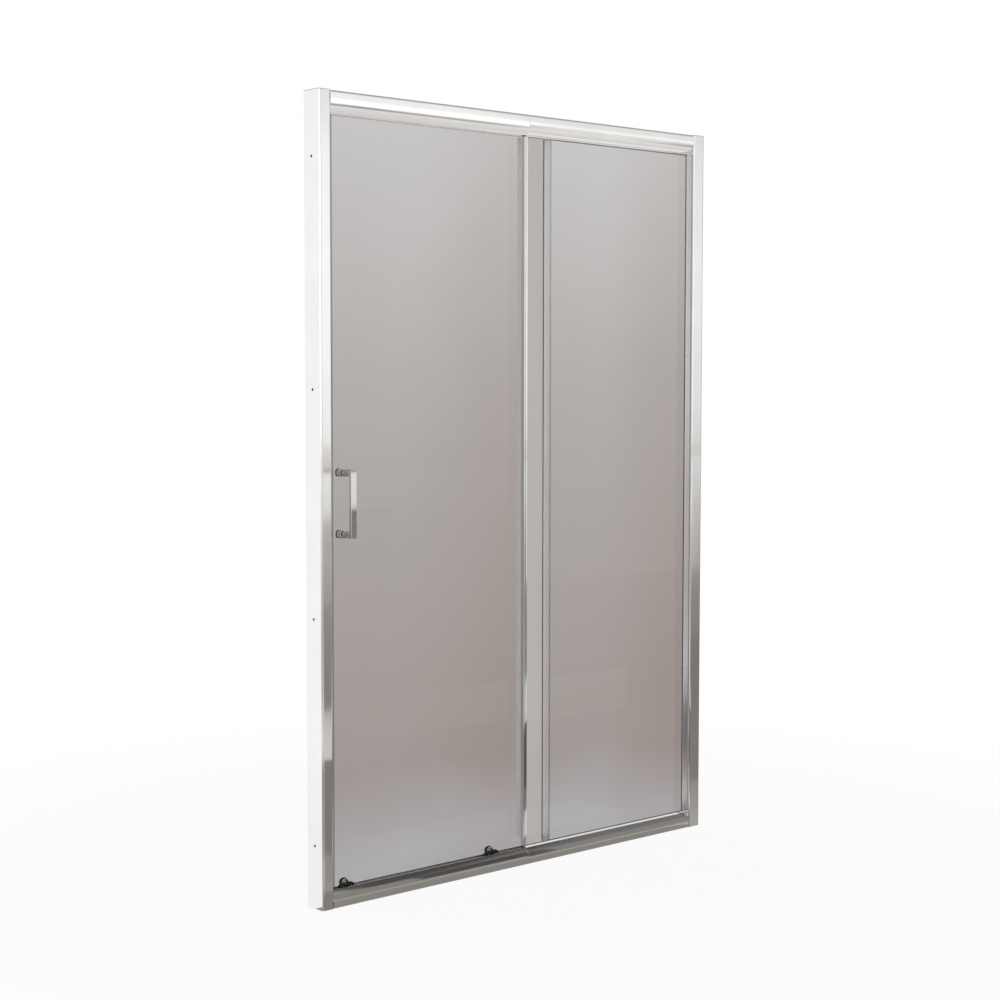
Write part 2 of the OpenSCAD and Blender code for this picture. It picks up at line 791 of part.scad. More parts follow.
// Base of a bottom roller: a disc with two upright guides and a nub for the spring
module roller_base(x) {
    guide_x = tab_w / 2 + move_gap;
    guide_y = carrier_y0 + move_gap;
    color(black) in_frame() difference() {
        union() {
            rod_y(x, base_y0, base_y1, knob_z, base_r);
            intersection() {
                rod_y(x, guide_y, base_y1, knob_z, base_r);
                union() {
                    block([x - base_r, guide_y, tab_z0 + 6], [x - guide_x, base_y1, tab_z1]);
                    block([x + guide_x, guide_y, tab_z0 + 6], [x + base_r, base_y1, tab_z1]);
                }
            }
            block([x - pocket_w / 2 + move_gap, carrier_y0 + move_gap, nub_z0],
                [x + pocket_w / 2 - move_gap, base_y0 + 0.5, nub_z0 + nub_h]);
        }
        rod_y(x, base_y0 - 0.01, base_y1 + 1, knob_z, bolt_r + bore_gap / 2);
    }
}

// Carrier of a bottom roller: a bar with two axle bosses and a tab that slides in the base
module roller_carrier(x) {
    half = bottom_wheel_pitch / 2;
    color(black) in_frame() difference() {
        union() {
            block([x - half - 6, carrier_y0, bottom_axle_z - 6], [x + half + 6, carrier_y1, tab_z0 + 1]);
            block([x - tab_w / 2, carrier_y0, tab_z0], [x + tab_w / 2, carrier_y1, tab_z1]);
            for (s = [-half, half]) {
                rod_y(x + s, wheel_y1 + move_gap, carrier_y1, bottom_axle_z, bottom_axle_r + 1.4);
            }
        }
        block([x - pocket_w / 2, carrier_y0 - 1, pocket_z0], [x + pocket_w / 2, carrier_y1 + 1, pocket_z1]);
        for (s = [-half, half]) {
            rod_y(x + s, wheel_y1, carrier_y1 + 1, bottom_axle_z, bottom_axle_r + bore_gap / 2);
        }
    }
}

// Chrome knob on the carrier, with a shallow dished face
module release_knob(x) {
    color(chrome) in_frame() difference() {
        rod_y(x, knob_y0, carrier_y0, knob_z, knob_r);
        rod_y(x, knob_y0 - 1, knob_y0 + 0.6, knob_z, knob_r - 2.5);
    }
}

module carrier_axles(x) {
    color(steel) in_frame() for (s = [-0.5, 0.5]) {
        axle_pin(x + s * bottom_wheel_pitch, bottom_axle_z, bottom_axle_r, carrier_y1 - 0.2);
    }
}

// Coil spring between the carrier's pocket and the base's nub
function spring_point(x, i, k) = let (
    turn = 360 * i / spring_steps,
    side = 360 * k / 6,
    r = spring_r + spring_wire / 2 * cos(side),
    z = spring_z0 + (spring_z1 - spring_z0) * i / (spring_turns * spring_steps))
    [x + r * cos(turn), (carrier_y0 + carrier_y1) / 2 + r * sin(turn) * 0.45,
     z + spring_wire / 2 * sin(side)];

module release_spring(x) {
    n = spring_turns * spring_steps;
    points = [for (i = [0:n]) for (k = [0:5]) spring_point(x, i, k)];
    sides = [for (i = [0:n - 1]) for (k = [0:5]) let (a = i * 6 + k, b = i * 6 + (k + 1) % 6)
        [a, b, b + 6, a + 6]];
    triangles = [for (q = sides) for (t = [[q[0], q[1], q[2]], [q[0], q[2], q[3]]]) t];
    ends = concat([for (k = [1:4]) [0, k + 1, k]],
        [for (k = [1:4]) [n * 6, n * 6 + k, n * 6 + k + 1]]);
    color(steel) in_frame() polyhedron(points, concat(triangles, ends));
}

// Handle bar: a flat bar with rounded corners, drawn from the front
module handle_bar() {
    half_w = bar_w / 2;
    half_l = handle_pitch / 2 + bar_end;
    color(chrome) in_frame() translate([handle_x, bar_y1, handle_z]) rotate([90, 0, 0])
        linear_extrude(bar_t) union() {
            rect(-half_w + bar_corner_r, -half_l, half_w - bar_corner_r, half_l);
            rect(-half_w, -half_l + bar_corner_r, half_w, half_l - bar_corner_r);
            for (side = [-1, 1]) for (end = [-1, 1]) {
                translate([side * (half_w - bar_corner_r), end * (half_l - bar_corner_r)])
                    circle(r = bar_corner_r);
            }
        }
}

// Posts from the bar to the rings
module handle_posts() {
    color(chrome) in_frame() for (z = post_z) {
        rod_y(handle_x, bar_y1, collar_y0 - ring_t, z, post_r);
    }
}

// Dark rings between posts and collars, and between collars and pane
module handle_rings() {
    color(black) in_frame() for (z = post_z) {
        difference() {
            rod_y(handle_x, collar_y0 - ring_t, collar_y0, z, post_r - 1.5);
            rod_y(handle_x, collar_y0 - ring_t - 1, collar_y0 + 1, z, bolt_r + bore_gap / 2);
        }
        for (y0 = [slide_y - washer_t, slide_y1]) difference() {
            rod_y(handle_x, y0, y0 + washer_t, z, collar_r - 0.6);
            rod_y(handle_x, y0 - 1, y0 + washer_t + 1, z, bolt_r + bore_gap / 2);
        }
    }
}

module handle_collars() {
    color(chrome) in_frame() for (z = post_z) difference() {
        rod_y(handle_x, collar_y0, collar_y0 + collar_l, z, collar_r);
        rod_y(handle_x, collar_y0 - 1, collar_y0 + collar_l + 1, z, bolt_r + bore_gap / 2);
    }
}

// Screws from behind the pane into the posts' ends
module handle_screws() {
    color(steel) in_frame() for (z = post_z) {
        rod_y(handle_x, collar_y0 - ring_t, slide_y1 + washer_t + 1, z, bolt_r);
        rod_y(handle_x, slide_y1 + washer_t, slide_y1 + washer_t + 1.6, z, bolt_r + 2);
    }
}

// Round caps over the screw heads behind the pane
module handle_backs() {
    back_y = slide_y1 + washer_t;
    color(chrome) in_frame() for (z = post_z) difference() {
        rod_y(handle_x, back_y, back_y + 4.5, z, collar_r);
        rod_y(handle_x, back_y - 1, back_y + 1.6 + seat_gap, z, bolt_r + 2 + seat_gap);
    }
}

wall_channel_left();
wall_channel_right();
jamb_left();
jamb_right();
channel_caps();
corner_screws();
channel_screws();
screw_caps();
top_rail();
bottom_rail();
top_cover_left();
top_cover_right();
bottom_cover_left();
bottom_cover_right();
travel_stops();
strike_magnet();
fixed_glass();
glazing_gasket_top();
glazing_gasket_bottom();
glazing_gasket_side();
fixed_edge_profile();
fixed_edge_seal();
sliding_glass();
leading_profile();
leading_magnet();
trailing_profile();
top_carriage(roller_x[0]);  // top_carriage_left
top_carriage(roller_x[1]);  // top_carriage_right
top_axles();
eccentric_bushes();
roller_bolts();
glass_washers();
roller_base(roller_x[0]);  // roller_base_left
roller_base(roller_x[1]);  // roller_base_right
release_spring(roller_x[0]);  // release_spring_left
release_spring(roller_x[1]);  // release_spring_right
handle_bar();
handle_posts();
handle_collars();
handle_rings();
handle_screws();
handle_backs();
top_wheel(0);  // top_wheel_a
top_wheel(1);  // top_wheel_b
top_wheel(2);  // top_wheel_c
top_wheel(3);  // top_wheel_d
roller_carrier(roller_x[0]);  // roller_carrier_left
roller_carrier(roller_x[1]);  // roller_carrier_right
release_knob(roller_x[0]);  // release_knob_left
release_knob(roller_x[1]);  // release_knob_right
carrier_axles(roller_x[0]);  // carrier_axles_left
carrier_axles(roller_x[1]);  // carrier_axles_right
bottom_wheel(0);  // bottom_wheel_a
bottom_wheel(1);  // bottom_wheel_b
bottom_wheel(2);  // bottom_wheel_c
bottom_wheel(3);  // bottom_wheel_d
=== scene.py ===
"""Looks for a framed sliding shower door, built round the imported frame. Metres, +Z up, -Y to the room."""

import json
import logging
import math
from dataclasses import dataclass, field
from enum import Enum
from typing import Optional, Sequence

import bpy
import bmesh
import numpy as np
from mathutils import Matrix, Vector


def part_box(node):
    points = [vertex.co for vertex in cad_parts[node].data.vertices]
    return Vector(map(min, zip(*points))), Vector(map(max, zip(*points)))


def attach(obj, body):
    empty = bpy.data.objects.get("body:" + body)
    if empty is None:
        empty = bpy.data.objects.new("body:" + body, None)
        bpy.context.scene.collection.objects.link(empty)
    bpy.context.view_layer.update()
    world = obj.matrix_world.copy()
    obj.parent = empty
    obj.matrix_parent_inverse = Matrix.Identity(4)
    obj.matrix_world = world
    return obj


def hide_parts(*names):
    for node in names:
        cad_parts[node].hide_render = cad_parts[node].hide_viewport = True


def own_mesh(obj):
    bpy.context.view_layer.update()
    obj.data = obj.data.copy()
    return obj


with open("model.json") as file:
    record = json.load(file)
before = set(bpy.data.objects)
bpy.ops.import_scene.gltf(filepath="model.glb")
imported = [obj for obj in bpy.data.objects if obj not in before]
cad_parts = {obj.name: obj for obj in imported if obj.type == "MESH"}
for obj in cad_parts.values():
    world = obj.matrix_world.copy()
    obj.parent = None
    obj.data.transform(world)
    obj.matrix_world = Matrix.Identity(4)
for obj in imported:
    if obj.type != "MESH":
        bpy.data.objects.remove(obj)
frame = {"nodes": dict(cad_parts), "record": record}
LOG = logging.getLogger("shower_door")

MM = 0.001
WIDTH = 1.300
DEPTH = 0.060
TOP = 1.8985

SHARP_ANGLE = math.radians(32)
MERGE_BELOW = 1e-7
POLE = 0.02 * MM  # radius of the small flat that closes a turned shape at its axis
TURNED_STEPS = 64
RING_STEPS = 56
NOISE_SPAN = (0.3, 0.7)  # where most of the noise lies

Colour = tuple[float, float, float]
Place = tuple[float, float, float]
Tones = Sequence[tuple[float, float]]
Socket = bpy.types.NodeSocket


class Axis(Enum):
    """Direction in which a profile was pressed, so its die lines run that way."""

    X = "x"
    Y = "y"
    Z = "z"


# Node graphs


class Graph:
    """A small builder for a node tree."""

    COLOUR_INPUTS = (6, 7)  # a Mix node's colour sockets go by number, because their names repeat
    COLOUR_OUTPUT = 2

    def __init__(self, tree: bpy.types.NodeTree) -> None:
        """Keeps the tree and empties it."""
        self.tree = tree
        tree.nodes.clear()

    @classmethod
    def of_material(cls, name: str) -> tuple[bpy.types.Material, "Graph"]:
        """Makes a material.

        Args:
            name: its name.

        Returns:
            The material and the builder of its emptied tree.
        """
        material = bpy.data.materials.new(name)
        material.use_nodes = True
        return material, cls(material.node_tree)

    def add(self, kind: str, inputs: Optional[dict] = None, **settings: object) -> bpy.types.Node:
        """Adds one node.

        Args:
            kind: the node type's name without its ShaderNode prefix.
            inputs: values or output sockets by input name or number.
            **settings: attributes of the node.

        Returns:
            The new node.
        """
        node = self.tree.nodes.new("ShaderNode" + kind)
        for name, value in settings.items():
            setattr(node, name, value)
        for name, value in (inputs or {}).items():
            if isinstance(value, Socket):
                self.tree.links.new(value, node.inputs[name])
            else:
                node.inputs[name].default_value = value
        return node

    def surface(self, shader: bpy.types.Node) -> None:
        """Ends the tree in a shader."""
        self.add("OutputMaterial", {"Surface": shader.outputs[0]})

    def either(self, share: Socket, first: bpy.types.Node, second: bpy.types.Node) -> bpy.types.Node:
        """Mixes two shaders, by the share of the second."""
        return self.add("MixShader", {0: share, 1: first.outputs[0], 2: second.outputs[0]})

    def math(self, operation: str, *values: object, clamp: bool = False) -> Socket:
        """Adds a Math node.

        Args:
            operation: its operation.
            *values: its inputs in order.
            clamp: whether the result is kept from 0 to 1.

        Returns:
            Its output socket.
        """
        return self.add("Math", dict(enumerate(values)), operation=operation, use_clamp=clamp).outputs[0]

    def ramp(self, value: Socket, stops: Sequence[tuple[float, Colour]]) -> Socket:
        """Adds a colour ramp.

        Args:
            value: what the ramp reads, from 0 to 1.
            stops: place and colour of each stop, in rising order.

        Returns:
            The ramp's colour socket.
        """
        node = self.add("ValToRGB", {0: value})
        elements = node.color_ramp.elements
        while len(elements) < len(stops):
            elements.new(1.0)
        for element, (place, colour) in zip(elements, stops):
            element.position = place
            element.color = (*colour, 1.0)
        return node.outputs[0]

    def mix(self, factor: object, first: object, second: object, blend: str = "MIX") -> Socket:
        """Mixes two colours.

        Args:
            factor: share of the second colour.
            first: first colour or socket.
            second: second colour or socket.
            blend: how they are mixed.

        Returns:
            The mixed colour's socket.
        """
        node = self.add("Mix", {0: factor}, data_type="RGBA", blend_type=blend)
        for number, value in zip(self.COLOUR_INPUTS, (first, second)):
            if isinstance(value, Socket):
                self.tree.links.new(value, node.inputs[number])
            else:
                node.inputs[number].default_value = (*value, 1.0)
        return node.outputs[self.COLOUR_OUTPUT]

    def scaled(self, colour: Socket, by: Colour) -> Socket:
        """Multiplies a colour by another."""
        return self.mix(1.0, colour, by, "MULTIPLY")

    def place(self) -> Socket:
        """Returns the point in the piece's own coordinates."""
        return self.add("TexCoord").outputs["Object"]

    def parts(self, vector: Socket) -> Sequence[Socket]:
        """Returns a vector's three parts."""
        return self.add("SeparateXYZ", {0: vector}).outputs

    def noise(self, scale: Sequence[float], detail: float) -> Socket:
        """Adds noise in the piece's own coordinates.

        Args:
            scale: how many grains a metre, along X, Y and Z.
            detail: how many finer octaves it has.

        Returns:
            The noise's value socket.
        """
        mapped = self.add("Mapping", {"Vector": self.place(), "Scale": tuple(scale)})
        return self.add("TexNoise", {"Vector": mapped.outputs[0], "Scale": 1.0, "Detail": detail}).outputs[0]

    def remap(self, value: Socket, start: float, end: float, low: float = 0.0, high: float = 1.0,
              kind: str = "LINEAR") -> Socket:
        """Carries one range over to another and holds the ends outside it.

        Args:
            value: the value.
            start: where the first range starts.
            end: where it ends.
            low: result at the start.
            high: result at the end.
            kind: how it runs between them.

        Returns:
            The mapped value's socket.
        """
        inputs = {0: value, 1: start, 2: end, 3: low, 4: high}
        return self.add("MapRange", inputs, interpolation_type=kind).outputs[0]

    def spread(self, value: Socket, low: float, high: float) -> Socket:
        """Carries noise from the span where most of it lies over to a range."""
        return self.remap(value, *NOISE_SPAN, low, high)


def grey(value: float, warmth: float = 0.0) -> Colour:
    """Returns a grey of that value, a little warmer or cooler."""
    return (value * (1 + warmth), value, value * (1 - warmth))


# Finishes


@dataclass(frozen=True)
class MetalFinish:
    """Bright metal with fine lines along its length and a faint cloudiness."""

    name: str
    tone: Colour
    roughness: float
    run: Axis = Axis.Z
    line_depth: float = 0.00002
    cloud: float = 0.05
    metallic: float = 1.0
    split: Optional[float] = None
    beyond: Colour = (0.93, 0.93, 0.925)
    lines_across: float = 2600.0
    lines_along: float = 6.0
    line_strength: float = 0.25
    line_haze: tuple[float, float] = (-0.02, 0.03)
    cloud_scale: Colour = (9.0, 9.0, 9.0)
    cloud_haze: tuple[float, float] = (0.0, 0.03)

    def material(self) -> bpy.types.Material:
        """Makes the finish; behind the depth given by split it has the tone named beyond.

        Returns:
            The finish as a material.
        """
        material, graph = Graph.of_material(self.name)
        scale = [self.lines_along if axis is self.run else self.lines_across for axis in Axis]
        lines = graph.noise(scale, 2.0)
        clouds = graph.noise(self.cloud_scale, 4.0)
        dull = tuple(c * (1 - self.cloud) for c in self.tone)
        colour = graph.mix(graph.spread(clouds, 0.0, 1.0), self.tone, dull)
        # the split gives a piece's rear another tone: painted light on the right jamb, the channel's own tone
        # behind painted shade on the right wall channel
        if self.split is not None:
            behind = graph.math("GREATER_THAN", graph.parts(graph.place())[1], self.split)
            colour = graph.mix(behind, colour, self.beyond)
        haze = graph.math("ADD", graph.spread(lines, *self.line_haze), graph.spread(clouds, *self.cloud_haze))
        bump = graph.add("Bump", {"Height": lines, "Strength": self.line_strength,
                                  "Distance": self.line_depth})
        graph.surface(graph.add("BsdfPrincipled", {
            "Base Color": colour,
            "Metallic": self.metallic,
            "Roughness": graph.math("ADD", haze, self.roughness, clamp=True),
            "Normal": bump.outputs[0],
        }))
        return material


@dataclass(frozen=True)
class PlasticFinish:
    """Moulded plastic or rubber with a fine grain and paler or darker worn patches."""

    name: str
    tone: Colour
    worn: Colour
    roughness: float
    grain: float = 900.0
    depth: float = 0.00005
    strength: float = 0.5
    swing: float = 0.06
    patches: float = 35.0

    def material(self) -> bpy.types.Material:
        """Makes the finish.

        Returns:
            The finish as a material.
        """
        material, graph = Graph.of_material(self.name)
        grain = graph.noise((self.grain,) * 3, 2.0)
        clouds = graph.noise((self.patches,) * 3, 3.0)
        bump = graph.add("Bump", {"Height": grain, "Strength": self.strength, "Distance": self.depth})
        graph.surface(graph.add("BsdfPrincipled", {
            "Base Color": graph.mix(graph.spread(clouds, 0.0, 1.0), self.tone, self.worn),
            "Roughness": graph.spread(grain, self.roughness - self.swing, self.roughness + self.swing),
            "Normal": bump.outputs[0],
        }))
        return material


# Painted shade: the glass tint with the backdrop's tones seen through it, by height.
PANE_TINT_AND_PAINTED_SHADE: Sequence[tuple[float, Colour]] = (
    (0.04, (0.440, 0.430, 0.445)), (0.14, (0.365, 0.327, 0.310)), (0.21, (0.365, 0.325, 0.306)),
    (0.48, (0.407, 0.378, 0.361)), (0.66, (0.448, 0.425, 0.409)), (0.97, (0.571, 0.558, 0.558)))


@dataclass(frozen=True)
class GlassFinish:
    """Toughened glass: a grey tint with painted shade, the tones of the backdrop seen through it, that
    changes softly with height, a greener ground edge, a little haze.

    The painted shade deepens over span. It is clear, without painted shade, up to clear_until and below
    clear_below, a flat painted tone from plain_past on, and darker within line, a painted shade beside the
    profile on the pane's free edge.
    """

    name: str
    span: tuple[float, float]
    height: float = 1.9
    clear_until: Optional[float] = None
    plain_past: Optional[float] = None
    clear_below: float = 31 * MM
    line: Optional[tuple[float, float]] = None
    soft: float = 2 * MM
    deep: Colour = (0.93, 0.90, 0.885)
    clear: Colour = (0.985, 0.985, 0.985)
    plain: Colour = (0.460, 0.437, 0.420)
    dark: Colour = (0.50, 0.49, 0.48)
    edge: Colour = (0.35, 0.50, 0.44)
    shadow: Colour = (0.80, 0.82, 0.81)
    mirror: Colour = (0.10, 0.10, 0.10)
    ior: float = 1.5
    cloud_scale: Colour = (2.2, 2.2, 1.3)
    cloud_swing: float = 0.03
    haze_scale: Colour = (3.0, 3.0, 1.6)
    haze: float = 0.012

    def past(self, graph: Graph, reach: Socket, place: float) -> Socket:
        """Returns 0 before a place and 1 from the soft edge's width past it."""
        return graph.remap(reach, place, place + self.soft)

    def tint_and_painted_shade(self, graph: Graph) -> Socket:
        """Works out the tint and painted shade over the pane's face.

        Args:
            graph: the tree to build in.

        Returns:
            The colour socket of the tint and painted shade.
        """
        x, _, z = graph.parts(graph.place())
        clouds = graph.spread(graph.noise(self.cloud_scale, 3.0), -self.cloud_swing, self.cloud_swing)
        # painted shade of the backdrop, by height, with a little random cloud
        tint_and_painted_shade = graph.ramp(graph.math("ADD", graph.math("DIVIDE", z, self.height), clouds), PANE_TINT_AND_PAINTED_SHADE)
        # painted shade, darker and warmer over span
        tint_and_painted_shade = graph.mix(graph.remap(x, *self.span, kind="SMOOTHSTEP"), tint_and_painted_shade, graph.scaled(tint_and_painted_shade, self.deep))
        # a flat painted tone where the sliding pane overlaps the fixed one
        if self.plain_past is not None:
            tint_and_painted_shade = graph.mix(self.past(graph, x, self.plain_past), tint_and_painted_shade, self.plain)
        if self.clear_until is not None:
            tint_and_painted_shade = graph.mix(self.past(graph, x, self.clear_until - self.soft), self.clear, tint_and_painted_shade)
        tint_and_painted_shade = graph.mix(self.past(graph, z, self.clear_below), self.clear, tint_and_painted_shade)
        # a painted shade in a thin line beside the profile
        if self.line is not None:
            inside = graph.math("MULTIPLY", graph.math("GREATER_THAN", x, self.line[0]),
                                graph.math("LESS_THAN", x, self.line[1]))
            tint_and_painted_shade = graph.mix(inside, tint_and_painted_shade, graph.scaled(tint_and_painted_shade, self.dark))
        return tint_and_painted_shade

    def material(self) -> bpy.types.Material:
        """Makes the finish, which lets light through to its shadow.

        Returns:
            The finish as a material.
        """
        material, graph = Graph.of_material(self.name)
        facing = graph.parts(graph.add("NewGeometry").outputs["True Normal"])[1]
        glass = graph.add("BsdfPrincipled", {
            "Base Color": graph.mix(graph.math("ABSOLUTE", facing), self.edge, self.tint_and_painted_shade(graph)),
            "Roughness": graph.spread(graph.noise(self.haze_scale, 4.0), 0.0, self.haze),
            "IOR": self.ior,
            "Specular Tint": (*self.mirror, 1.0),
            "Transmission Weight": 1.0,
        })
        through = graph.add("BsdfTransparent", {0: (*self.shadow, 1.0)})
        graph.surface(graph.either(graph.add("LightPath").outputs["Is Shadow Ray"], glass, through))
        return material


class Palette:
    """The door's finishes, by the record's material slots and by looks of their own, made on first use."""

    FINISHES: dict[str, object] = {
        "anodised": MetalFinish("bright_aluminium", (0.695, 0.695, 0.692), 0.055),
        # the right jamb behind the split, seen through the fixed pane, is painted lighter: painted light
        "right_jamb": MetalFinish("jamb_aluminium_painted_light", (0.695, 0.695, 0.692), 0.055, split=-5 * MM),
        "rail": MetalFinish("satin_track_aluminium", (0.90, 0.895, 0.89), 0.42, Axis.X, metallic=0.15),
        "wall": MetalFinish("wall_channel_aluminium", (0.92, 0.92, 0.915), 0.16),
        "shaded_wall": MetalFinish("shaded_channel_aluminium", (0.16, 0.15, 0.145), 0.25, split=-24 * MM),
        "polished": MetalFinish("polished_cover", (0.775, 0.775, 0.772), 0.075, Axis.X),
        # a paler, more matt copy of the profiles' aluminium: painted light on the trailing profile behind the
        # glass
        "edge": MetalFinish("edge_aluminium_painted_light", (0.90, 0.90, 0.895), 0.30, metallic=0.35),
        "chrome": MetalFinish("chrome_plate", (0.64, 0.63, 0.62), 0.030, Axis.Y, 0.000002, 0.02),
        # a brighter copy of the chrome for the back caps behind the pane: painted light
        "lit_chrome": MetalFinish("chrome_plate_painted_light", (0.95, 0.95, 0.95), 0.06, Axis.Y, 0.000002, 0.02),
        "steel": MetalFinish("plated_steel", (0.66, 0.66, 0.67), 0.28, Axis.Y, 0.00001, 0.15),
        "clear_glass": GlassFinish("sliding_pane_glass", (-0.40, 0.02), plain_past=0.033,
                                   line=(-0.586, -0.5803)),
        "fixed_glass": GlassFinish("fixed_pane_glass", (0.25, 0.58), clear_until=0.095, clear_below=0.0),
        "grey_plastic": PlasticFinish("grey_moulding", grey(0.62), grey(0.52), 0.42),
        "seal": PlasticFinish("soft_seal", grey(0.40), grey(0.34), 0.50),
        "side_seal": MetalFinish("satin_side_strip", (0.80, 0.80, 0.80), 0.22, metallic=0.75),
        "pale_seal": PlasticFinish("pale_seal", grey(0.92), grey(0.86), 0.45),
        "magnet": PlasticFinish("magnet_strip", grey(0.46), grey(0.38), 0.45),
        "black_rubber": PlasticFinish("black_rubber", grey(0.022), grey(0.040), 0.60),
        "black_plastic": PlasticFinish("black_moulding", grey(0.014), grey(0.028), 0.32),
        "wheel_plastic": PlasticFinish("wheel_nylon", grey(0.018), grey(0.032), 0.28, 500.0),
    }

    def __init__(self) -> None:
        """Starts with no material made."""
        self.made: dict[str, bpy.types.Material] = {}

    def get(self, look: str) -> bpy.types.Material:
        """Finds a finish's material, or makes it on first use.

        Args:
            look: a key of FINISHES.

        Returns:
            The material.
        """
        if look not in self.made:
            self.made[look] = self.FINISHES[look].material()
        return self.made[look]


# Surfaces


def rounded_outline(corners: np.ndarray, radii: np.ndarray, steps: int = 6) -> np.ndarray:
    """Rounds the corners of a closed outline.

    Each corner gives way to a circle of its own radius that touches both sides: the circle's centre
    lies on the corner's bisector at radius / sin(half angle), and its points run evenly in angle
    from one touching point to the other.

    Args:
        corners: N by 2 corner points, in order.
        radii: N radii, all above zero.
        steps: how many points replace a corner.

    Returns:
        N * steps by 2 points of the rounded outline.
    """
    to_last = np.roll(corners, 1, axis=0) - corners
    to_next = np.roll(corners, -1, axis=0) - corners
    to_last /= np.linalg.norm(to_last, axis=1, keepdims=True)
    to_next /= np.linalg.norm(to_next, axis=1, keepdims=True)
    half = np.arccos(np.clip((to_last * to_next).sum(1), -1, 1)) / 2
    bisector = to_last + to_next
    bisector /= np.linalg.norm(bisector, axis=1, keepdims=True)
    centre = corners + bisector * (radii / np.sin(half))[:, None]
    reach = (radii / np.tan(half))[:, None]
    start = corners + to_last * reach - centre
    end = corners + to_next * reach - centre
    first = np.arctan2(start[:, 1], start[:, 0])
    turn = np.arctan2(end[:, 1], end[:, 0]) - first
    turn = (turn + np.pi) % (2 * np.pi) - np.pi
    angle = first[:, None] + turn[:, None] * np.linspace(0, 1, steps)[None, :]
    ring = np.stack([np.cos(angle), np.sin(angle)], axis=2) * radii[:, None, None]
    return (centre[:, None, :] + ring).reshape(-1, 2)


def rounded_table(rows: Sequence[tuple[float, float, float]], steps: int = 6) -> np.ndarray:
    """Rounds an outline that is given as rows of a corner's two coordinates and its radius."""
    table = np.array(rows)
    return rounded_outline(table[:, :2], table[:, 2], steps)


def placed(points: np.ndarray, along: float, axis: Axis) -> np.ndarray:
    """Sets a section into space.

    Args:
        points: N by 2 coordinates across the axis, in X, Y, Z order.
        along: the place along the axis.
        axis: the axis that the section is carried along.

    Returns:
        N by 3 points.
    """
    return np.insert(points, list(Axis).index(axis), along, axis=1)


def tube_faces(rings: int, count: int) -> np.ndarray:
    """Numbers the four-sided faces between rings of points, each ring closed on itself.

    Args:
        rings: how many rings there are.
        count: how many points a ring has.

    Returns:
        Faces by 4 point numbers.
    """
    r, k = np.meshgrid(np.arange(rings - 1), np.arange(count), indexing="ij")
    low, high, ahead = r * count, (r + 1) * count, (k + 1) % count
    return np.stack([low + k, low + ahead, high + ahead, high + k], axis=-1).reshape(-1, 4)


def shaded(name: str, mesh: bpy.types.Mesh) -> bpy.types.Object:
    """Makes a mesh an object whose flat faces look flat and whose rounded edges look round.

    Args:
        name: the object's name.
        mesh: its mesh.

    Returns:
        The new object, at the origin.
    """
    mesh.set_sharp_from_angle(angle=SHARP_ANGLE)
    made = bpy.data.objects.new(name, mesh)
    bpy.context.scene.collection.objects.link(made)
    even = made.modifiers.new("flat_faces", "WEIGHTED_NORMAL")
    even.mode, even.weight, even.keep_sharp = "FACE_AREA", 100, True
    return made


def closed_piece(name: str, points: np.ndarray, faces: list[list[int]]) -> bpy.types.Object:
    """Makes a closed piece, with doubled points merged and faces turned outwards.

    Args:
        name: the piece's name.
        points: points in space, on the last dimension.
        faces: numbers of the points round each face.

    Returns:
        The new object, at the origin.
    """
    mesh = bpy.data.meshes.new(name)
    mesh.from_pydata(points.reshape(-1, 3).tolist(), [], faces)
    work = bmesh.new()
    work.from_mesh(mesh)
    bmesh.ops.remove_doubles(work, verts=work.verts, dist=MERGE_BELOW)
    bmesh.ops.recalc_face_normals(work, faces=work.faces)
    work.to_mesh(mesh)
    work.free()
    mesh.shade_smooth()
    return shaded(name, mesh)


def lofted(name: str, rings: np.ndarray) -> bpy.types.Object:
    """Makes a closed piece from rings of points: sides between the rings, and a flat cap at both ends.

    Args:
        name: the piece's name.
        rings: R by N by 3 points.

    Returns:
        The new object, at the origin.
    """
    count, size = rings.shape[:2]
    caps = [list(range(size))[::-1], list(range((count - 1) * size, count * size))]
    return closed_piece(name, rings, tube_faces(count, size).tolist() + caps)


def extrusion(name: str, outline: np.ndarray, low: float, high: float, axis: Axis,
              chamfer: float = 0.12 * MM) -> bpy.types.Object:
    """Carries an outline straight along an axis, with a chamfer at each end.

    The end rings are drawn in towards the outline's own normals by the chamfer, so that sawn ends
    catch light as deburred metal does.

    Args:
        name: the piece's name.
        outline: N by 2 points across the axis.
        low: start along the axis.
        high: end along the axis.
        axis: the axis.
        chamfer: its size.

    Returns:
        The new piece.
    """
    ahead, behind = np.roll(outline, -1, axis=0), np.roll(outline, 1, axis=0)
    side = ahead - behind
    area = np.sum(outline[:, 0] * ahead[:, 1] - ahead[:, 0] * outline[:, 1])
    inward = np.stack([-side[:, 1], side[:, 0]], axis=1) * np.sign(area)
    inward /= np.maximum(np.linalg.norm(inward, axis=1, keepdims=True), 1e-12)
    small = outline + inward * chamfer
    sections = [(small, low), (outline, low + chamfer), (outline, high - chamfer), (small, high)]
    return lofted(name, np.stack([placed(section, at, axis) for section, at in sections]))


def swept(profile: np.ndarray, centre: Sequence[float], count: int) -> np.ndarray:
    """Sweeps a profile about an axis along Y.

    A point at radius r and depth y goes to (x0 + r cos a, y, z0 + r sin a) for angles a all round.

    Args:
        profile: N by 2 radii and depths.
        centre: x0 and z0.
        count: how many steps round.

    Returns:
        N by count by 3 points.
    """
    angle = np.linspace(0, 2 * np.pi, count, endpoint=False)
    radius, depth = profile[:, :1], profile[:, 1:]
    x, z = centre[0] + radius * np.cos(angle), centre[1] + radius * np.sin(angle)
    return np.stack(np.broadcast_arrays(x, depth, z), axis=-1)


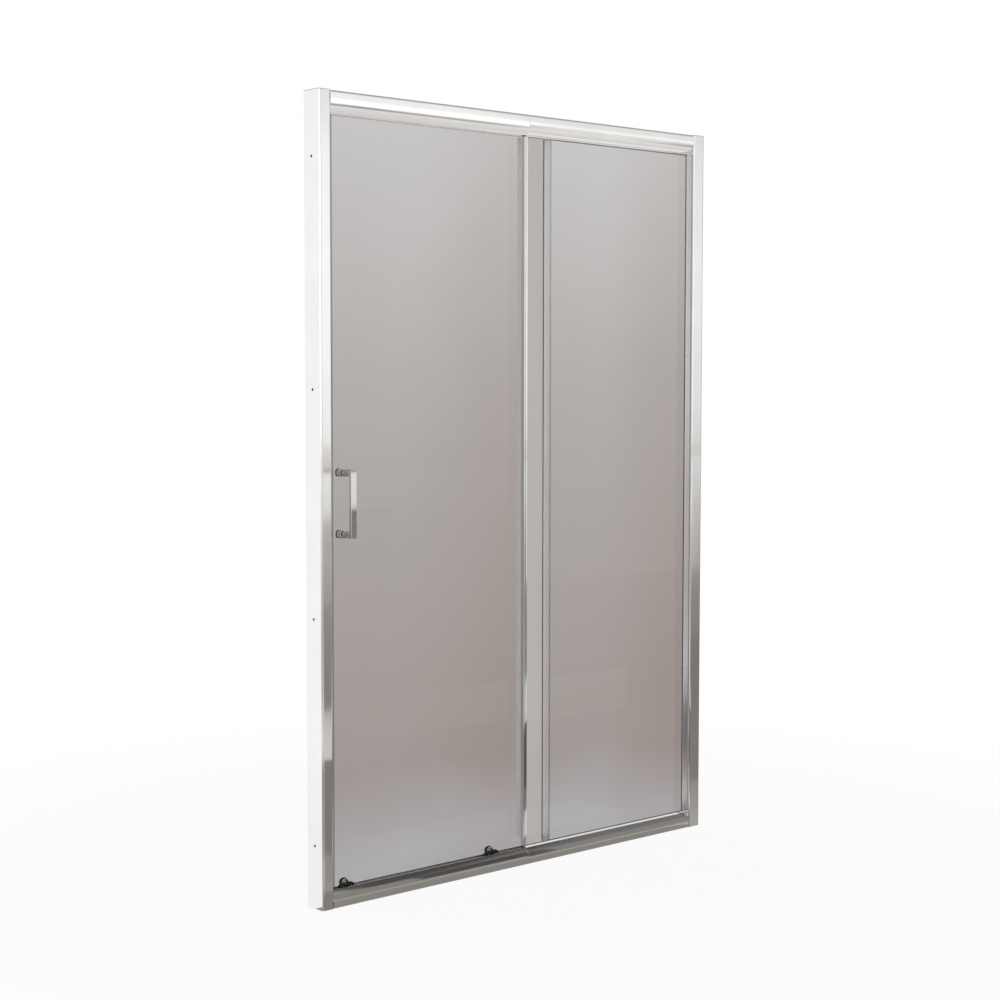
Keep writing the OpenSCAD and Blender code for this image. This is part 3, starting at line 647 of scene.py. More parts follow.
def turned(name: str, profile: np.ndarray, centre: Sequence[float]) -> bpy.types.Object:
    """Turns a profile that starts and ends near the axis into a solid piece.

    Args:
        name: the piece's name.
        profile: N by 2 radii and depths.
        centre: x0 and z0 of the axis.

    Returns:
        The new piece.
    """
    return lofted(name, swept(profile, centre, TURNED_STEPS))


def turned_ring(name: str, section: np.ndarray, centre: Sequence[float]) -> bpy.types.Object:
    """Turns a section that is closed on itself, which leaves a bore; the last angle joins the first.

    Args:
        name: the piece's name.
        section: N by 2 radii and depths.
        centre: x0 and z0 of the axis.

    Returns:
        The new piece.
    """
    size = len(section)
    faces = tube_faces(RING_STEPS + 1, size) % (RING_STEPS * size)
    return closed_piece(name, swept(section, centre, RING_STEPS).transpose(1, 0, 2), faces.tolist())


def joined(name: str, parts: Sequence[bpy.types.Object]) -> bpy.types.Object:
    """Makes one piece of several separate closed shells.

    Args:
        name: the new piece's name.
        parts: the objects, which are used up.

    Returns:
        The joined piece.
    """
    work = bmesh.new()
    for part in parts:
        work.from_mesh(part.data)
    mesh = bpy.data.meshes.new(name)
    work.to_mesh(mesh)
    work.free()
    for part in parts:
        bpy.data.objects.remove(part)
    return shaded(name, mesh)


# Sub-assemblies


@dataclass
class SubAssembly:
    """Common work of every sub-assembly: it dresses new pieces and hangs them on their body."""

    palette: Palette
    body: str = "frame"

    def finish_piece(self, piece: bpy.types.Object, slot: str, node: str, look: Optional[str] = None) -> None:
        """Gives a piece its finish, its body and the node that it stands for.

        Args:
            piece: the piece.
            slot: the record's slot.
            node: the CAD node that it replaces.
            look: another key of the palette, where the finish differs from the slot's.
        """
        piece.data.materials.append(self.palette.get(look or slot))
        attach(piece, self.body)
        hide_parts(node)
        LOG.info("piece %s stands for %s", piece.name, node)


class CarriedNodes(SubAssembly):
    """CAD nodes whose shape is right: they only get their finish."""

    LOOKS: dict[str, str] = {"top_rail": "rail", "bottom_rail": "rail", "fixed_glass": "fixed_glass",
                             "wall_channel_left": "wall", "wall_channel_right": "shaded_wall",
                             "glazing_gasket_side": "side_seal", "fixed_edge_seal": "pale_seal"}

    def build(self) -> None:
        """Gives each CAD node the finish of its slot, or its own look."""
        for row in frame["record"]["subparts"]:
            node = frame["nodes"][row["node"]]
            material = self.palette.get(self.LOOKS.get(row["node"], row["material_slot"]))
            if not node.material_slots:
                node.data.materials.append(material)
            for holder in node.material_slots:
                holder.material = material
            LOG.info("node %s wears %s", row["node"], material.name)


@dataclass
class Jambs(SubAssembly):
    """The two upright jambs: U profiles over the wall channels, with a rounded room-side corner."""

    faces: dict[str, float] = field(default_factory=lambda: {"left": 33 * MM, "right": 40 * MM})
    rooms: dict[str, float] = field(default_factory=lambda: {"left": 6 * MM, "right": 3 * MM})
    wall: float = 1.5 * MM
    corner: float = 4.5 * MM
    back_corner: float = 0.8 * MM
    small: float = 0.3 * MM
    groove: tuple[float, float] = (15.5 * MM, 26.5 * MM)
    groove_depth: float = 14 * MM

    def outline(self, side: str) -> np.ndarray:
        """Draws the section, measured from the wall and the front plane.

        Args:
            side: left or right; the right jamb holds the fixed pane in a groove.

        Returns:
            Its rounded outline.
        """
        x0, x1, y1, w, small = self.rooms[side], self.faces[side], DEPTH, self.wall, self.small
        g0, g1 = self.groove
        back = x1 - self.groove_depth
        rows = [(x0, 0, small), (x1, 0, self.corner)]
        if side == "right":
            rows += [(x1, g0 + w, small), (back + w, g0 + w, small), (back + w, g1 - w, small),
                     (x1, g1 - w, small)]
        rows += [(x1, y1, self.back_corner), (x0, y1, small), (x0, y1 - w, small), (x1 - w, y1 - w, small)]
        if side == "right":
            rows += [(x1 - w, g1, small), (back, g1, small), (back, g0, small), (x1 - w, g0, small)]
        rows += [(x1 - w, w, self.corner - w), (x0, w, small)]
        return rounded_table(rows)

    def build(self) -> None:
        """Builds both jambs; the right one is drawn from the other wall."""
        for side, sign, look in (("left", 1, None), ("right", -1, "right_jamb")):
            outline = self.outline(side)
            outline[:, 0] = (outline[:, 0] - WIDTH / 2) * sign
            outline[:, 1] -= DEPTH / 2
            piece = extrusion(f"jamb_extrusion_{side}", outline, 0.0, TOP, Axis.Z)
            self.finish_piece(piece, "anodised", f"jamb_{side}", look)


@dataclass
class RailCovers(SubAssembly):
    """The four clipped rail covers, each a thin swelling skin with a lip and, at the top left, a return.

    Heights holds the height of each rail's front and slope, extra what the right covers' slope adds,
    slopes how far it runs back, and soften how far its break is rounded.
    """

    seam: float = 656 * MM - WIDTH / 2
    half_gap: float = 0.2 * MM
    ends: tuple[float, float] = (-0.6169, 0.6099)
    end_chamfer: float = 0.6 * MM
    skin: float = 1.6 * MM
    front: float = 0.6 * MM
    crown: float = 1.3 * MM
    steepness: tuple[float, float] = (0.55, 0.9)
    lip: float = 5.9 * MM
    fold: float = 0.35 * MM
    clear: float = 0.2 * MM
    soften: dict[str, float] = field(default_factory=lambda: {"left": 4.5 * MM, "right": 13 * MM})
    heights: dict[str, tuple[float, float]] = field(
        default_factory=lambda: {"top": (32 * MM, 18 * MM), "bottom": (23 * MM, 19 * MM)})
    extra: dict[str, float] = field(default_factory=lambda: {"top": 1.5 * MM, "bottom": 2 * MM})
    slopes: dict[str, float] = field(default_factory=lambda: {"left": 9 * MM, "right": 13.4 * MM})
    top_return: float = 24.9 * MM

    def curve(self, front_h: float, slope_h: float, slope_d: float, reach: float) -> np.ndarray:
        """Draws the room-side curve.

        Its steepness (depth gained for each unit of height) is crown * 4 u / front_h over the front,
        with u from -1 to 1, and slope_d * (0.55 + 0.9 s) / slope_h over the slope, with s from 0 to 1.
        Within a short reach of the break the two are blended evenly, so the edge is rounded. Depth
        is the running sum of steepness, stretched over the slope so that it ends where it should.

        Args:
            front_h: height of the front.
            slope_h: height of the slope.
            slope_d: how far the slope runs back.
            reach: how far from the break the two are blended.

        Returns:
            N by 2 depths and heights.
        """
        z = np.concatenate([np.linspace(0, front_h - reach, 21),
                            np.linspace(front_h - reach, front_h + reach, 19)[1:],
                            np.linspace(front_h + reach, front_h + slope_h, 11)[1:]])
        u = np.minimum(2 * z / front_h - 1, 1)
        s = np.clip((z - front_h) / slope_h, 0, 1)
        blend = np.clip((z - front_h + reach) / (2 * reach), 0, 1)
        first, growth = self.steepness
        steep = (1 - blend) * self.crown * 4 * u / front_h + blend * slope_d * (first + growth * s) / slope_h
        gained = np.concatenate([[0.0], np.cumsum((steep[1:] + steep[:-1]) / 2 * np.diff(z))])
        over = np.clip((z - front_h + reach) / (slope_h + reach), 0, 1)
        gained += over * (slope_d - gained[-1])
        return np.stack([self.front + self.crown + gained, z], axis=1)

    def section(self, rail: str, side: str) -> np.ndarray:
        """Draws a cover's whole section.

        Args:
            rail: top or bottom.
            side: left or right.

        Returns:
            The closed outline, as depths and heights above the rail's outer edge.
        """
        front_h, slope_h = self.heights[rail]
        slope_h += self.extra[rail] if side == "right" else 0.0
        outer = self.curve(front_h, slope_h, self.slopes[side], self.soften[side])
        inner = outer + np.array([self.skin, 0.0])
        depth, height = outer[-1]
        tail = np.empty((0, 2))
        if (rail, side) == ("top", "left"):
            below = height - self.skin
            tail = np.array([[self.top_return, height], [self.top_return, below],
                             [depth + self.skin - self.fold, below]])
            inner = inner[inner[:, 1] < below - self.clear]
        inner = inner[inner[:, 1] > self.skin + self.clear]
        return np.concatenate([outer, tail, inner[::-1], [[self.lip, self.skin], [self.lip, 0.0]]])

    def build(self) -> None:
        """Builds the four covers; the top ones are drawn downwards from the frame's top."""
        low_end, high_end = self.ends
        spans = {"left": (low_end, self.seam - self.half_gap), "right": (self.seam + self.half_gap, high_end)}
        for rail in self.heights:
            for side, (low, high) in spans.items():
                outline = self.section(rail, side)
                if rail == "top":
                    outline[:, 1] = TOP - outline[:, 1]
                outline[:, 0] -= DEPTH / 2
                piece = extrusion(f"{rail}_cover_skin_{side}", outline, low, high, Axis.X, self.end_chamfer)
                self.finish_piece(piece, "polished", f"{rail}_cover_{side}")


@dataclass
class EdgeProfiles(SubAssembly):
    """Profiles on the panes' free edges, each with a shadow groove or a rebate.

    Millimetres: a corner's distance from the frame's left side and from its front, and its radius.
    """

    small: float = 0.25
    edge: float = 0.8
    fixed_span: tuple[float, float] = (44.3, 1846.2)
    door_span: tuple[float, float] = (38.0, 1847.5)

    def corners(self) -> dict[str, list[tuple[float, float, float]]]:
        """Lists the profiles' corners.

        Returns:
            Rows of a corner and its radius, by CAD node.
        """
        small, edge = self.small, self.edge
        return {
            "fixed_edge_profile": [
                (651, 14.75, small), (653, 14.75, small), (653, 16.95, small), (655.6, 16.95, small),
                (655.6, 14.75, small), (661, 14.75, edge), (661, 18.45, small), (653, 18.45, small),
                (653, 23.55, small), (661, 23.55, small), (661, 26.25, edge), (650, 26.25, edge),
                (650, 15.75, small), (651, 15.75, small)],
            "trailing_profile": [
                (743, 43, edge), (752.2, 43, small), (752.2, 43.5, small), (753.8, 43.5, small),
                (753.8, 43, small), (767, 43, edge), (767, 52, edge), (743, 52, edge),
                (743, 50.05, small), (763, 50.05, small), (763, 44.95, small), (743, 44.95, small)],
            "leading_profile": [
                (38.5, 43, edge), (52.5, 43, edge), (52.5, 44.95, small), (41.5, 44.95, small),
                (41.5, 50.05, small), (52.5, 50.05, small), (52.5, 52, edge), (38.5, 52, edge)],
        }

    def build(self) -> None:
        """Builds the three edge profiles: one on the fixed pane, two on the door."""
        for node, corners in self.corners().items():
            fixed = node == "fixed_edge_profile"
            self.body, (low, high) = ("frame", self.fixed_span) if fixed else ("door", self.door_span)
            outline = rounded_table(np.array(corners) * MM - (WIDTH / 2, DEPTH / 2, 0.0), 4)
            piece = extrusion(node + "_pressed", outline, low * MM, high * MM, Axis.Z)
            # the trailing profile wears the paler copy of the aluminium, painted light
            self.finish_piece(piece, "anodised", node, "edge" if node == "trailing_profile" else None)


@dataclass
class Handle(SubAssembly):
    """The bar handle: a flat bar with softened edges on two round posts, with barrel collars at the pane."""

    body: str = "door"
    x: float = 88 * MM - WIDTH / 2
    middle: float = 0.949
    pitch: float = 0.145
    bar: tuple[float, float, float] = (17 * MM, 7 * MM, 81 * MM)
    bar_front: float = -40 * MM
    bar_corner: float = 4 * MM
    bar_edge: float = 0.9 * MM
    ring: float = 3.2 * MM
    post_r: float = 8.5 * MM
    collar_r: float = 10 * MM
    collar: tuple[float, float] = (-0.5 * MM, 14 * MM)
    cap: tuple[float, float] = (21 * MM, 25.5 * MM)
    soft: float = 0.5 * MM
    lip: float = 1.4 * MM
    dome: float = 1.5 * MM
    bolt: float = 3.15 * MM
    washers: tuple[tuple[float, float], ...] = ((14 * MM, 15 * MM), (20 * MM, 21 * MM))
    ring_in: float = 0.1 * MM
    washer_in: float = 0.6 * MM
    ring_edge: float = 0.25 * MM

    @property
    def heights(self) -> tuple[float, float]:
        """Heights of the two posts."""
        return self.middle - self.pitch / 2, self.middle + self.pitch / 2

    def bar_piece(self) -> bpy.types.Object:
        """Builds the bar.

        The outline is a rectangle with rounded corners. Ring by ring its distance in from the full
        outline is edge * (1 - cos t) and its depth edge * sin t, a quarter circle at front and back.

        Returns:
            The bar.
        """
        width, thick, half = self.bar
        quarter = np.linspace(0, np.pi / 2, 6)
        rise, run = self.bar_edge * np.sin(quarter), self.bar_edge * (1 - np.cos(quarter))
        insets = np.concatenate([self.bar_edge * (1 - np.sin(quarter)), run])
        depths = np.concatenate([run, thick - self.bar_edge + rise])
        rings = []
        for inset, depth in zip(insets, depths):
            a, b, radius = width / 2 - inset, half - inset, self.bar_corner - inset
            ring = rounded_table([(-a, -b, radius), (a, -b, radius), (a, b, radius), (-a, b, radius)], 9)
            rings.append(placed(ring + (self.x, self.middle), self.bar_front + depth, Axis.Y))
        return lofted("handle_grip_bar", np.stack(rings))

    def profiles(self) -> dict[str, np.ndarray]:
        """Draws the turned pieces as radii and depths.

        A post is plain with a small chamfer. A collar starts in a lip and a cap ends in a dome, each a
        quarter circle.

        Returns:
            The profiles of post, collar and back cap.
        """
        bar_back = self.bar_front + self.bar[1]
        front, back = self.collar
        foot = front - self.ring
        r, wide, soft = self.post_r, self.collar_r, self.soft
        bend, arc = np.linspace(0, np.pi / 2, 6), np.linspace(0, np.pi / 2, 8)
        lip = np.stack([wide - self.lip * (1 - np.sin(bend)), front + self.lip * (1 - np.cos(bend))], axis=1)
        inner, low = wide - self.dome, self.cap[1] - self.dome
        dome = np.stack([inner + self.dome * np.cos(arc), low + self.dome * np.sin(arc)], axis=1)
        return {
            "post": np.array([(POLE, bar_back), (r, bar_back), (r, foot - soft), (r - soft, foot),
                              (POLE, foot)]),
            "collar": np.concatenate([[(POLE, front)], lip,
                                      [(wide, back - soft), (wide - soft, back), (POLE, back)]]),
            "back": np.concatenate([[(POLE, self.cap[0]), (wide, self.cap[0])], dome, [(POLE, self.cap[1])]]),
        }

    def rings(self, name: str, look: Optional[str], outer: float,
              depths: Sequence[tuple[float, float]]) -> None:
        """Builds flat rings on both posts as one piece.

        Args:
            name: the piece's name.
            look: its look.
            outer: the rings' outer radius.
            depths: front and back of each ring on a post.
        """
        parts = []
        for z in self.heights:
            for low, high in depths:
                corners = [(self.bolt, low), (outer, low), (outer, high), (self.bolt, high)]
                section = rounded_table([(*corner, self.ring_edge) for corner in corners], 4)
                parts.append(turned_ring(f"{name}_{len(parts)}", section, (self.x, z)))
        self.finish_piece(joined(name, parts), "black_rubber", "handle_rings", look)

    def build(self) -> None:
        """Builds bar, posts, collars, back caps, dark rings and the pale washers at the pane."""
        self.finish_piece(self.bar_piece(), "chrome", "handle_bar")
        for part, profile in self.profiles().items():
            name = f"handle_{part}_pair"
            parts = [turned(f"{name}_{i}", profile, (self.x, z)) for i, z in enumerate(self.heights)]
            # the back caps, seen through the pane, wear the brighter copy of the chrome: painted light
            look = "lit_chrome" if part == "back" else "chrome"
            self.finish_piece(joined(name, parts), "chrome", f"handle_{part}s", look)
        front = self.collar[0]
        self.rings("post_ring_pair", None, self.post_r - self.ring_in, [(front - self.ring, front)])
        self.rings("pane_washer_set", "pale_seal", self.collar_r - self.washer_in, self.washers)


@dataclass
class ReleaseKnobs(SubAssembly):
    """The chrome release knobs: a low dome in a rounded rim."""

    centres: tuple[float, float] = (93.5 * MM - WIDTH / 2, 555.5 * MM - WIDTH / 2)
    z: float = 45 * MM
    r: float = 9.5 * MM
    front: float = 5.9 * MM
    back: float = 9.4 * MM
    rim: float = 1.3 * MM
    rim_rise: float = 0.9 * MM
    dome_fall: float = 2.1 * MM

    def build(self) -> None:
        """Builds both knobs.

        The dome falls back with the square of its radius, and the rim is half an ellipse round it.
        """
        t = np.linspace(0, 1, 14)
        dome = np.stack([POLE + (self.r - 2 * self.rim) * t, self.front + self.dome_fall * t ** 2], axis=1)
        a = np.linspace(np.pi, 0, 12)
        rim = np.stack([self.r - self.rim + self.rim * np.cos(a),
                        self.front + self.rim_rise * (1 - np.sin(a))], axis=1)
        profile = np.concatenate([dome, rim, [[self.r, self.back], [POLE, self.back]]])
        for side, x in zip(("left", "right"), self.centres):
            self.body = f"carrier_{side}"
            piece = turned(f"release_cap_{side}", profile, (x, self.z))
            self.finish_piece(piece, "chrome", f"release_knob_{side}")


@dataclass
class Wheels(SubAssembly):
    """The eight grooved nylon wheels, with rounded rims and a dished hub face."""

    thick: float = 7 * MM
    groove: float = 2 * MM
    mouth: float = 3.8 * MM
    bed: float = 2.4 * MM
    web: float = 1.8 * MM
    hub: float = 1.4 * MM
    recess: float = 0.8 * MM
    small: float = 0.2 * MM
    rim: float = 0.55 * MM
    bores: dict[str, float] = field(default_factory=lambda: {"top": 2.55 * MM, "bottom": 2.05 * MM})

    def section(self, outer: float, inner: float, middle: float) -> np.ndarray:
        """Draws half of a wheel cut through its axis.

        Args:
            outer: radius of the rim.
            inner: radius of the bore.
            middle: depth of the wheel's middle.

        Returns:
            The closed outline as radii and depths.
        """
        half, bed, small, rim = self.thick / 2, outer - self.groove, self.small, self.rim
        dish, hub, floor = bed - self.web, inner + self.hub, half - self.recess
        outline = rounded_table([
            (inner, -half, small), (outer, -half, rim), (outer, -self.mouth / 2, rim),
            (bed, -self.bed / 2, small), (bed, self.bed / 2, small), (outer, self.mouth / 2, rim),
            (outer, half, rim), (dish, half, small), (dish, floor, small), (hub, floor, small),
            (hub, half, small), (inner, half, small)], 4)
        return outline + (0.0, middle)

    def build(self) -> None:
        """Builds the wheels where the CAD nodes stand."""
        for row, inner in self.bores.items():
            for letter in "abcd":
                node = f"{row}_wheel_{letter}"
                low, high = (np.array(v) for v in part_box(node))
                centre, outer = (low + high) / 2, (high[0] - low[0]) / 2
                section = self.section(outer, inner, centre[1])
                self.body = node
                piece = turned_ring(f"{node}_turned", section, (centre[0], centre[2]))
                self.finish_piece(piece, "wheel_plastic", node)


@dataclass
class Springs(SubAssembly):
    """The two release springs."""

    body: str = "door"
    turns: int = 5
    steps: int = 24
    wire: float = 0.3 * MM
    sides: int = 10
    fixed_end: float = 47.9 * MM
    lift: float = 3.5 * MM

    def rings(self, low: np.ndarray, high: np.ndarray) -> np.ndarray:
        """Works out the rings of points round the wire.

        The wire's middle follows a helix: its angle grows evenly with its height, and its width and
        depth are the box's less the wire. Each ring is a circle round that middle, drawn in the
        plane of the outward direction and the height, as the CAD source draws it.

        Args:
            low: the box's lowest corner.
            high: the box's highest corner.

        Returns:
            Rings by points by 3.
        """
        turn = np.linspace(0, 2 * np.pi * self.turns, self.turns * self.steps + 1)[:, None]
        side = np.linspace(0, 2 * np.pi, self.sides, endpoint=False)[None, :]
        centre, half = (low + high) / 2, (high - low) / 2
        reach = half[0] - self.wire * (1 - np.cos(side))
        x = centre[0] + reach * np.cos(turn)
        y = centre[1] + reach * np.sin(turn) * (half[1] / half[0])
        climb = (high[2] - low[2] - 2 * self.wire) * turn / turn[-1]
        z = low[2] + self.wire + climb + self.wire * np.sin(side)
        return np.stack(np.broadcast_arrays(x, y, z), axis=-1)

    def build(self) -> None:
        """Builds both coils and hangs them on the door."""
        for side in ("left", "right"):
            node = f"release_spring_{side}"
            low, high = (np.array(v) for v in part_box(node))
            piece = lofted(f"{node}_coil", self.rings(low, high))
            self.finish_piece(piece, "steel", node)
            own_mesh(piece)


# Studio


@dataclass(frozen=True)
class Card:
    """A flat glowing mat or board of the studio that only mirrored rays see, a painted reflection: one corner
    and its two edges.

    Tones run along its first edge. Back tones run along the second, on the side that the edges'
    cross product faces. One with past_pane is seen only by rays that were mirrored and passed glass.
    """

    name: str
    corner: Place
    along: Place
    across: Place
    tones: Tones
    back: Tones = ()
    warmth: float = 0.06
    past_pane: bool = False


@dataclass(frozen=True)
class Lamp:
    """A soft rectangular lamp: where it stands, what it faces, its width and height, and its face's tone."""

    name: str
    place: Place
    aim: Place
    size: tuple[float, float]
    radiance: float


def ends(first: float, last: Optional[float] = None) -> Tones:
    """Returns tones that run evenly from the first to the last, or stay at the first."""
    return (0.0, first), (1.0, first if last is None else last)


def post_card(name: str, z: float) -> Card:
    """Returns the dark card below a post of the handle, behind the pane: a painted dark reflection on the
    post.
    """
    return Card(name, (-0.58, 0.03, z), (0.18, 0, 0), (0, 0.07, 0), ((0.0, 0.50), (0.25, 0.22), (1.0, 0.22)),
                past_pane=True)


# Painted reflections: glowing cards seen only in mirrored rays. The softbox faces stand for the lamps' faces,
# the dark cards and boards paint dark reflections, and the light strip paints a highlight.
CARDS: Sequence[Card] = (
    Card("softbox_face_left", (-9, -10, 0), (0, 0, 6.4), (18.25, 0, 0),
         ((0.0, 1.02), (0.15, 1.26), (0.23, 1.38), (0.51, 1.33), (0.57, 1.13), (1.0, 1.13)), warmth=0.0),
    Card("softbox_face_right", (9.25, -10, 0), (0, 0, 6.4), (14, 0, 0),
         ((0.0, 0.88), (0.14, 1.04), (0.24, 1.15), (0.38, 1.23), (0.55, 1.12), (0.59, 1.0), (1.0, 1.0)),
         warmth=0.0),
    Card("upper_board", (-9, -9.95, 6.4), (0, 0, 3.5), (33, 0, 0), ((0.0, 0.50), (0.3, 0.40), (1.0, 0.40))),
    Card("bar_foot_board", (7.04, -9.97, 0), (0, 0, 0.07), (0.6, 0, 0), ends(0.02)),
    Card("bar_mat", (4.80, -7.1, 0.0016), (2.2, -2.86, 0), (0.45, 0, 0),
         ((0.0, 0.28), (0.5, 0.22), (1.0, 0.26))),
    Card("far_mat", (-9, -10, 0.001), (0, 6.6, 0), (25, 0, 0),
         ((0.0, 0.66), (0.45, 0.56), (0.72, 0.46), (1.0, 0.38))),
    Card("pale_far_mat_left", (3.25, -3.4, 0.0013), (6.15, -6.6, 0), (1.15, 0, 0), ends(0.93, 0.97)),
    Card("pale_far_mat_right", (4.25, -3.4, 0.0014), (7.25, -6.6, 0), (-1.15, 0, 0), ends(0.93, 0.97)),
    Card("middle_board", (-1, -2.17, 0), (0, 0, 0.40), (10, 0, 0), ends(0.27, 0.37)),
    Card("near_board", (-1, -0.45, 0), (0, 0, 0.25), (5, 0, 0), ends(0.27)),
    Card("dark_board", (-0.02, -0.44, 0.07), (0.5, 0, 0), (0, 0, 0.19),
         ((0.0, 0.08), (0.8, 0.08), (1.0, 0.14))),
    Card("right_board", (1.6, -1.2, 0), (0, 0, 0.30), (2.5, 0, 0), ends(0.26)),
    Card("foot_mat", (-0.75, -0.16, 0.001), (1.7, 0, 0), (0, 0.16, 0), ends(0.29)),
    Card("foot_board", (-0.75, -0.165, 0), (2.2, 0, 0), (0, 0, 0.022), ends(0.40, 0.44)),
    Card("left_mat", (-0.75, -0.50, 0.001), (0.55, 0, 0), (0, 0.34, 0), ends(0.38)),
    Card("right_mat", (0.62, -0.50, 0.0016), (0, 0.47, 0), (0.9, 0, 0),
         ((0.0, 0.32), (0.4, 0.40), (1.0, 0.50))),
    Card("shin_mat", (0.25, -2.15, 0.0012), (0, 0.80, 0), (0.9, 0, 0),
         ((0.0, 0.62), (0.5, 0.78), (1.0, 0.76))),
    Card("pale_mat", (0.25, -0.50, 0.0015), (1.55, -1.45, 0), (0.75, 0, 0), ends(0.72, 0.88)),
    post_card("low_post_card", 0.835),
    post_card("high_post_card", 0.980),
    Card("light_strip", (-0.30, -0.50, 0.995), (1.15, -1.52, 0), (0.29, 0, 0), ends(0.36, 0.30)),
    Card("flag", (-0.6, -2.0, 1.0), (3.6, 0, 0), (0, 1.45, 0),
         ((0.0, 0.10), (0.42, 0.075), (0.47, 0.09), (0.52, 0.17), (1.0, 0.25)), ends(0.98, 0.80), 0.03),
)

LAMPS: Sequence[Lamp] = (
    Lamp("front_softbox", (3.5, -10.0, 1.75), (3.5, 0.0, 1.75), (25.0, 3.5), 1.30),
    Lamp("back_softbox", (-3.7, 4.9, 2.3), (0.0, 0.0, 0.9), (3.0, 4.4), 1.30),
)


@dataclass
class Studio:
    """A pale floor in white air, soft lamps, glowing grey mats outside the picture that only reflections see,
    as painted reflections, and the camera.
    """

    floor_half: float = 150.0
    floor_drop: float = 0.5 * MM
    camera_place: Place = (-3.283206, -3.568235, 1.245604)
    azimuth: float = 0.7333027
    elevation: float = 0.0643187
    roll: float = -0.0011155
    lens: float = 68.8814
    sensor: float = 36.0
    far: float = 500.0
    air_on_matt: float = 0.55
    floor_tone: float = 0.80
    white_near: float = 0.93
    fade: tuple[float, float] = (0.9, 2.4)

    def shows_background(self, graph: Graph) -> Socket:
        """Tells camera, mirrored and passed rays from the rest.

        Args:
            graph: the tree to build in.

        Returns:
            1 for the rays that see the plain background, 0 for light on matt surfaces.
        """
        path = graph.add("LightPath")
        seen = graph.math("MAXIMUM", path.outputs["Is Glossy Ray"], path.outputs["Is Transmission Ray"])
        return graph.math("MAXIMUM", path.outputs["Is Camera Ray"], seen)

    def world(self) -> None:
        """Makes the air: plain white wherever it is seen, softer where it lights matt surfaces."""
        world = bpy.data.worlds.new("studio_air")
        world.use_nodes = True
        bpy.context.scene.world = world
        graph = Graph(world.node_tree)
        colour = graph.mix(self.shows_background(graph), grey(self.air_on_matt), grey(1.0))
        background = graph.add("Background", {0: colour, 1: 1.0})
        graph.add("OutputWorld", {0: background.outputs[0]})

    def plane(self, name: str, points: Sequence[Sequence[float]],
              material: bpy.types.Material) -> bpy.types.Object:
        """Adds a plane that belongs to the studio.

        Args:
            name: its name.
            points: its four corners.
            material: its material.

        Returns:
            The plane.
        """
        mesh = bpy.data.meshes.new(name)
        mesh.from_pydata(points, [], [(0, 1, 2, 3)])
        mesh.materials.append(material)
        plane = bpy.data.objects.new(name, mesh)
        bpy.context.scene.collection.objects.link(plane)
        return plane

    def floor(self) -> None:
        """Makes the floor: pale and shadowed round the door, plain white from some metres on."""
        material, graph = Graph.of_material("pale_floor")
        distance = graph.add("VectorMath", {0: graph.place()}, operation="LENGTH").outputs["Value"]
        away = graph.remap(distance, *self.fade, self.white_near, 1.0, "SMOOTHSTEP")
        share = graph.math("MULTIPLY", self.shows_background(graph), away)
        matt = graph.add("BsdfDiffuse", {0: (*grey(self.floor_tone), 1.0)})
        white = graph.add("Emission", {0: (*grey(1.0), 1.0), 1: 1.0})
        graph.surface(graph.either(share, matt, white))
        h = self.floor_half
        floor = self.plane("studio_floor", [(-h, -h, 0), (h, -h, 0), (h, h, 0), (-h, h, 0)], material)
        floor.location.z = -self.floor_drop

    def card_tone(self, graph: Graph, corner: np.ndarray, edge: np.ndarray, tones: Tones,
                  warmth: float) -> Socket:
        """Reads a tone by how far a point lies along a card's edge.

        Args:
            graph: the tree to build in.
            corner: the card's corner.
            edge: the edge, whose whole length counts as 1.
            tones: places and tones.
            warmth: how warm the tones are.

        Returns:
            The tone's socket.
        """
        unit = edge / (edge @ edge)
        reach = graph.add("VectorMath", {0: graph.place(), 1: tuple(unit)}, operation="DOT_PRODUCT")
        share = graph.math("SUBTRACT", reach.outputs["Value"], float(corner @ unit))
        return graph.ramp(share, [(at, grey(value, warmth)) for at, value in tones])

    def card(self, row: Card) -> None:
        """Stands or lays one glowing board or mat, a painted reflection.

        Args:
            row: its place and tones.
        """
        corner, along, across = (np.array(v, dtype=float) for v in (row.corner, row.along, row.across))
        material, graph = Graph.of_material(row.name + "_painted_reflection")
        tone = self.card_tone(graph, corner, along, row.tones, row.warmth)
        if row.back:
            behind = graph.add("NewGeometry").outputs["Backfacing"]
            tone = graph.mix(behind, self.card_tone(graph, corner, across, row.back, row.warmth), tone)
        glow = graph.add("Emission", {0: tone, 1: 1.0})
        if row.past_pane:
            path = graph.add("LightPath")
            # depths are whole numbers, so above a half means once or more
            mirrored, passed = (graph.math("GREATER_THAN", path.outputs[depth], 0.5)
                                for depth in ("Glossy Depth", "Transmission Depth"))
            clear = graph.add("BsdfTransparent", {0: (1.0, 1.0, 1.0, 1.0)})
            glow = graph.either(graph.math("MULTIPLY", mirrored, passed), clear, glow)
        graph.surface(glow)
        points = [corner, corner + along, corner + along + across, corner + across]
        plane = self.plane(row.name, [p.tolist() for p in points], material)
        plane.visible_camera = plane.visible_diffuse = plane.visible_shadow = False
        plane.visible_transmission = row.past_pane

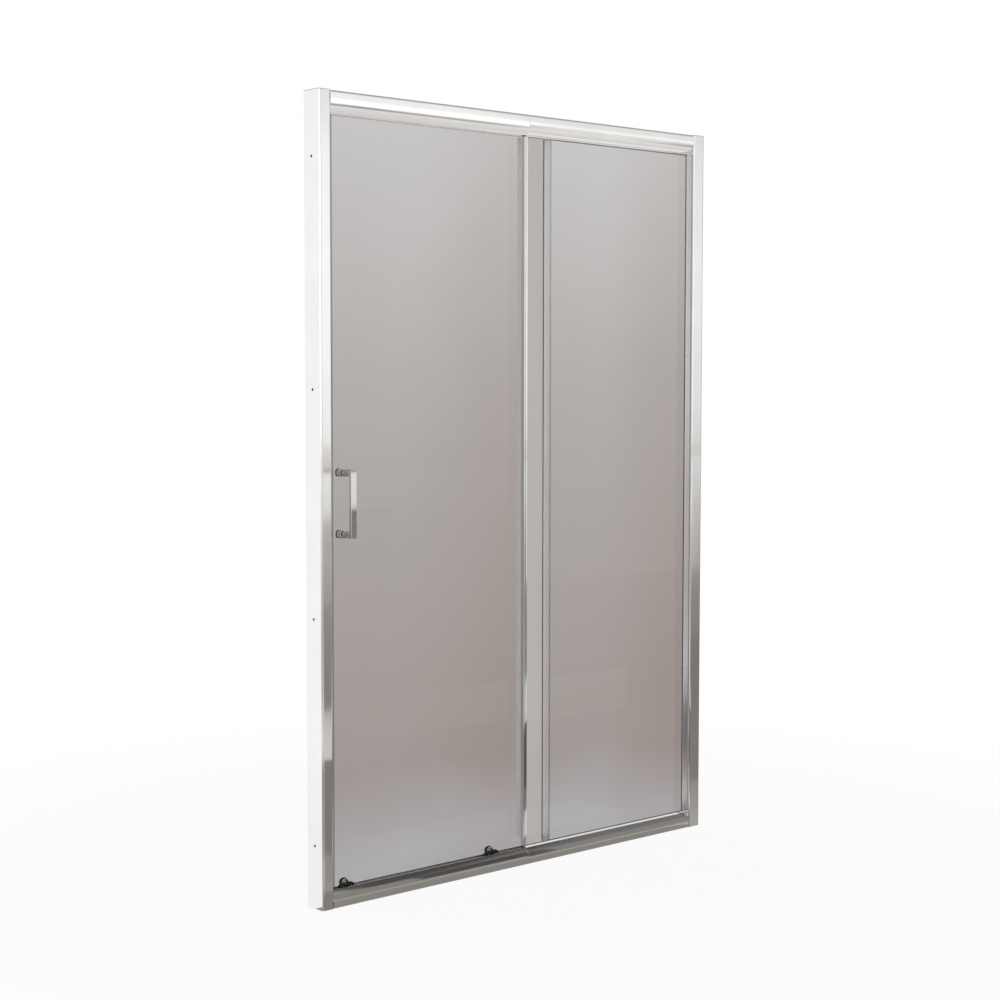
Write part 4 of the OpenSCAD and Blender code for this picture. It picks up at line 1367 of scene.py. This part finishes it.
    def lamp(self, row: Lamp) -> None:
        """Adds a lamp, whose face shows in mirrored rays only where a board stands for it.

        Args:
            row: the lamp; its power is pi times its area times its radiance.
        """
        data = bpy.data.lights.new(row.name, "AREA")
        data.shape, data.size, data.size_y = "RECTANGLE", *row.size
        data.energy = row.radiance * math.pi * row.size[0] * row.size[1]
        lamp = bpy.data.objects.new(row.name, data)
        lamp.location = row.place
        lamp.visible_glossy = lamp.visible_transmission = False
        lamp.rotation_euler = (Vector(row.aim) - Vector(row.place)).to_track_quat("-Z", "Y").to_euler()
        bpy.context.scene.collection.objects.link(lamp)

    def camera(self) -> None:
        """Sets the camera where the photograph was taken from."""
        a, e, r = self.azimuth, self.elevation, self.roll
        forward = Vector((math.sin(a) * math.cos(e), math.cos(a) * math.cos(e), -math.sin(e)))
        flat_right = Vector((math.cos(a), -math.sin(a), 0.0))
        flat_down = forward.cross(flat_right)
        right = flat_right * math.cos(r) + flat_down * math.sin(r)
        down = flat_down * math.cos(r) - flat_right * math.sin(r)
        data = bpy.data.cameras.new("photo_camera")
        data.lens, data.sensor_width, data.clip_end = self.lens, self.sensor, self.far
        camera = bpy.data.objects.new("photo_camera", data)
        turn = Matrix((right, -down, -forward)).transposed()
        camera.matrix_world = Matrix.Translation(self.camera_place) @ turn.to_4x4()
        bpy.context.scene.collection.objects.link(camera)
        bpy.context.scene.camera = camera

    def build(self) -> None:
        """Builds the whole studio."""
        self.camera()
        self.world()
        self.floor()
        for card in CARDS:
            self.card(card)
        for lamp in LAMPS:
            self.lamp(lamp)
        bpy.context.scene.view_settings.view_transform = "Standard"


def main() -> None:
    """Builds the studio and the sub-assemblies in order."""
    logging.basicConfig(level=logging.INFO, format="%(message)s")
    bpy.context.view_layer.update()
    palette = Palette()
    Studio().build()
    for kind in (CarriedNodes, Jambs, RailCovers, EdgeProfiles, Handle, ReleaseKnobs, Wheels, Springs):
        kind(palette).build()
        LOG.info("built %s", kind.__name__)


if __name__ == "__main__":
    main()
